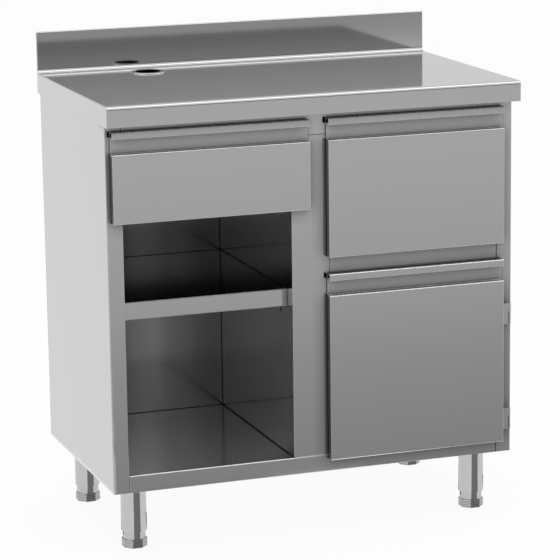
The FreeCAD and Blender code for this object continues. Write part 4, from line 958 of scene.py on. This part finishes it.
@dataclass
class NicheCards:
    """Cards across the opening of the niche, which give its near-mirror walls their grey and their shades.

    A card's glow runs from left to right. Seen from the front left, the left of the back panel mirrors the
    card's right end, and the rest mirrors it by way of the divider, reversed. From shade_start up, the niche
    lies in the drawer's shadow. The lower niche has a card below floor_band, one in it, one in glow_band and
    one above that.
    """

    left: float = edge("side_panel_left", End.HIGH, Axis.X)
    right: float = edge("centre_divider", End.LOW, Axis.X)
    depth: float = edge("side_panel_left", End.LOW, Axis.Y) + 4 * MM
    rear: float = edge("back_panel", End.LOW, Axis.Y) + 2 * MM
    floor: float = edge("bottom_panel", End.HIGH, Axis.Z)
    lower_top: float = edge("middle_shelf", End.LOW, Axis.Z) - 12 * MM
    upper_floor: float = edge("middle_shelf", End.HIGH, Axis.Z) + 0.5 * MM
    ceiling: float = edge("left_drawer_front", End.LOW, Axis.Z)
    shade_start: float = 0.770
    shade_level: float = 0.001
    floor_band: tuple[float, float] = (0.32, 0.39)
    glow_band: tuple[float, float] = (0.39, 0.44)
    deep_gain: float = 20.0

    def band(self, name: str, low: float, high: float, left_level: float, inner: Glow,
             right_level: float) -> Card:
        """Stand a card across the whole opening.

        Args:
            name: the card's name.
            low: its lower edge.
            high: its upper edge.
            left_level: its brightness at the left edge.
            inner: places and brightnesses between the edges.
            right_level: its brightness at the right edge.

        Returns:
            The card.
        """
        glow = ((self.left, left_level), *inner, (self.right, right_level))
        return upright_card(name, Line(self.left, self.right, self.depth), low, high, glow, Axis.X,
                            deep_gain=self.deep_gain)

    def cards(self) -> list[Card]:
        """List the cards from the upper niche to the lower one.

        Returns:
            The cards.
        """
        dark = self.shade_level
        front, rear = (Line(self.left, self.right, depth) for depth in (self.depth, self.rear))
        return [
            self.band("upper_niche_card", self.upper_floor, self.shade_start, 0.14, (
                (-0.367, 0.132), (-0.316, 0.096), (-0.239, 0.068), (-0.162, 0.058), (-0.135, 0.10),
                (-0.117, 0.125), (-0.084, 0.105)), 0.12),
            upright_card("upper_niche_shade", front, self.shade_start, self.ceiling,
                         ((self.shade_start, dark), (self.ceiling, dark)), deep_gain=self.deep_gain),
            level_card("drawer_underside_shade", rear, front, self.ceiling,
                       ((self.left, dark), (self.right, dark)), Axis.X, one_sided=True),
            self.band("lower_niche_card", self.floor, self.floor_band[0], 0.23, (
                (-0.389, 0.20), (-0.337, 0.17), (-0.285, 0.135), (-0.234, 0.102), (-0.156, 0.105),
                (-0.14, 0.19), (-0.11, 0.19), (-0.084, 0.22)), 0.26),
            self.band("lower_niche_floor_card", *self.floor_band, 0.21, (
                (-0.34, 0.15), (-0.234, 0.10), (-0.187, 0.12), (-0.15, 0.14), (-0.13, 0.22),
                (-0.09, 0.20)), 0.18),
            self.band("lower_niche_glow", *self.glow_band, 0.26, (
                (-0.34, 0.17), (-0.234, 0.13), (-0.187, 0.17), (-0.15, 0.20), (-0.13, 0.29),
                (-0.09, 0.29)), 0.26),
            self.band("lower_niche_high_glow", self.glow_band[1], self.lower_top, 0.28, (
                (-0.34, 0.26), (-0.234, 0.21), (-0.187, 0.29), (-0.13, 0.34), (-0.09, 0.36)), 0.32),
        ]


@dataclass
class RoomCards:
    """The room's large cards: the grey floor ahead, the two walls and the strip light.

    The fronts show the floor card, which is darker beyond floor_edge. The top shows the rear wall, and the
    rounded front edges show the strip light. A wall is given by its depth and height.
    """

    floor_far: Line = Line(-34.0, 19.0, -20.0)
    floor_near: Line = Line(-0.7, 1.0, -0.72)
    floor_height: float = 2 * MM
    floor_edge: tuple[float, float] = (-8.2, -7.2)
    wall_half_width: float = 20.0
    front_wall: tuple[float, float] = (-20.0, 12.0)
    rear_wall: tuple[float, float] = (12.0, 8.0)
    rear_level: float = 0.79
    strip_half_width: float = 8.0
    strip_depth: tuple[float, float] = (-2.9, -0.9)
    strip_height: float = 5.6
    strip_strength: float = 2.6

    def wall(self, name: str, depth: float, height: float, glow: Glow) -> Card:
        """Stand a wall across the room.

        Args:
            name: the card's name.
            depth: where it stands.
            height: how high it is.
            glow: heights and the brightnesses there.

        Returns:
            The card.
        """
        half = self.wall_half_width
        corners = ((-half, depth, 0.0), (half, depth, 0.0), (half, depth, height), (-half, depth, height))
        return Card(name, corners, Axis.Z, glow)

    def cards(self) -> list[Card]:
        """List the floor card, the two walls and the strip light.

        Returns:
            The cards.
        """
        front_depth, front_height = self.front_wall
        rear_depth, rear_height = self.rear_wall
        strip_front, strip_rear = self.strip_depth
        half = self.strip_half_width
        return [
            level_card("front_floor_card", self.floor_far, self.floor_near, self.floor_height, (
                (self.floor_far.depth, 0.41), (self.floor_edge[0], 0.41), (self.floor_edge[1], 0.70),
                (-4.8, 0.66), (-2.7, 0.57), (-1.8, 0.47), (self.floor_near.depth, 0.38))),
            self.wall("front_wall_card", front_depth, front_height, (
                (0.0, 0.15), (3.7, 0.15), (3.95, 0.55), (4.3, 0.60), (5.8, 0.70), (7.5, 1.0),
                (front_height, 1.0))),
            self.wall("rear_wall_card", rear_depth, rear_height, (
                (0.0, self.rear_level), (rear_height, self.rear_level))),
            level_card("front_strip_light", Line(-half, half, strip_front), Line(-half, half, strip_rear),
                       self.strip_height, ((strip_front, 1.0), (strip_rear, 1.0)),
                       strength=self.strip_strength),
        ]


@dataclass
class Studio:
    """The white studio round the station: floor, world, lamp and cards."""

    floor_radius: float = 60.0
    floor_height: float = -0.2 * MM
    floor_points: int = 96
    floor_colour: str = "#F2F2F2"
    floor_share: float = 0.07
    fill_level: float = 0.8
    lamp: Softbox = field(default_factory=lambda: Softbox(
        "ceiling_softbox", (0.0, -0.4, 4.2), (3.2, 3.0), 1.8, (0.0, -0.3, 0.0)))

    def build(self) -> None:
        """Build floor, world, lamp and cards."""
        self.build_floor()
        self.build_world()
        self.lamp.build()
        for card in RoomCards().cards() + NicheCards().cards() + LegCards().cards():
            card.build()

    def build_floor(self) -> None:
        """Make the floor: a disc that is white to look at and takes a light shadow, seen from above only.

        With the angle t from 0 to 2 pi, its rim is (r cos t, r sin t) at one height.
        """
        turns = np.linspace(0.0, 2 * math.pi, self.floor_points, endpoint=False)
        rim = np.column_stack([np.cos(turns) * self.floor_radius, np.sin(turns) * self.floor_radius,
                               np.full(turns.shape, self.floor_height)])
        mesh = bpy.data.meshes.new("floor")
        mesh.from_pydata(rim.tolist(), [], [tuple(range(len(turns)))])
        # Matt white paint that is plain white where it is looked at, and keeps a trace of the shadow.
        material, tree = new_material("white_floor")
        matt = add_node(tree, "ShaderNodeBsdfDiffuse", {}, {"Color": linear(self.floor_colour)})
        white = add_node(tree, "ShaderNodeEmission", {}, {"Strength": 1.0})
        lit = add_node(tree, "ShaderNodeMixShader", {}, {
            0: self.floor_share, 1: white.outputs[0], 2: matt.outputs[0]})
        seen = add_node(tree, "ShaderNodeMixShader", {}, {
            0: seen_directly(tree), 1: matt.outputs[0], 2: lit.outputs[0]})
        add_node(tree, "ShaderNodeOutputMaterial", {}, {
            "Surface": clear_from_behind(tree, seen.outputs[0])})
        mesh.materials.append(material)
        add_object("floor", mesh)
        log.info("studio: floor")

    def build_world(self) -> None:
        """Make the world: white to look at and in reflections, and a softer fill light for all else."""
        world = bpy.data.worlds.new("white_studio")
        world.use_nodes = True
        tree = world.node_tree
        tree.nodes.clear()
        white = add_node(tree, "ShaderNodeBackground", {}, {"Strength": 1.0, "Color": linear("#FFFFFF")})
        fill = add_node(tree, "ShaderNodeBackground", {}, {
            "Strength": self.fill_level, "Color": linear("#FFFFFF")})
        mixed = add_node(tree, "ShaderNodeMixShader", {}, {
            0: seen_directly(tree), 1: fill.outputs[0], 2: white.outputs[0]})
        add_node(tree, "ShaderNodeOutputWorld", {}, {"Surface": mixed.outputs[0]})
        bpy.context.scene.world = world
        log.info("studio: world")


@dataclass
class Viewpoint:
    """The camera: where it stands, where it points, in degrees, and its long lens.

    For a frame of frame_pixels, lens_pixels is the focal length, and centre_pixels tells how far the lens's
    axis passes to the right of the frame's middle and below it.
    """

    place: Point = (-2.107, -5.9748, 1.9349)
    yaw: float = 19.494
    pitch: float = 12.302
    roll: float = -0.762
    frame_pixels: float = 560.0
    lens_pixels: float = 2702.5
    centre_pixels: tuple[float, float] = (0.7, 2.4)
    sensor: float = 36.0
    sight: float = 200.0

    def build(self) -> None:
        """Place the camera from its yaw, pitch and roll, with the lens as a share of the frame's width."""
        yaw, pitch, roll = (math.radians(angle) for angle in (self.yaw, self.pitch, self.roll))
        ahead = Vector((math.sin(yaw) * math.cos(pitch), math.cos(yaw) * math.cos(pitch), -math.sin(pitch)))
        level = Vector((math.cos(yaw), -math.sin(yaw), 0.0))
        above = level.cross(ahead)
        right = math.cos(roll) * level + math.sin(roll) * above
        up = -math.sin(roll) * level + math.cos(roll) * above
        camera = bpy.data.cameras.new("camera")
        camera.sensor_width = self.sensor
        camera.lens = self.lens_pixels / self.frame_pixels * self.sensor
        camera.shift_x = -self.centre_pixels[0] / self.frame_pixels
        camera.shift_y = self.centre_pixels[1] / self.frame_pixels
        camera.clip_end = self.sight
        holder = add_object("camera", camera)
        turn = Matrix((right, up, -ahead)).transposed().to_4x4()
        holder.matrix_world = Matrix.Translation(self.place) @ turn
        bpy.context.scene.camera = holder
        log.info("studio: camera")


def main() -> None:
    """Build and dress the station, then build the studio and the camera."""
    logging.basicConfig(level=logging.INFO, format="%(name)s %(message)s")
    wardrobe: dict[str, bpy.types.Material] = {}
    for part in (Worktop(), Cabinet(), Drawer(hand=Hand.LEFT), Drawer(hand=Hand.RIGHT), Door(), Legs()):
        part.build()
        part.dress(wardrobe)
    Studio().build()
    Viewpoint().build()
    bpy.context.scene.view_settings.view_transform = "Standard"
    bpy.context.view_layer.update()


if __name__ == "__main__":
    main()
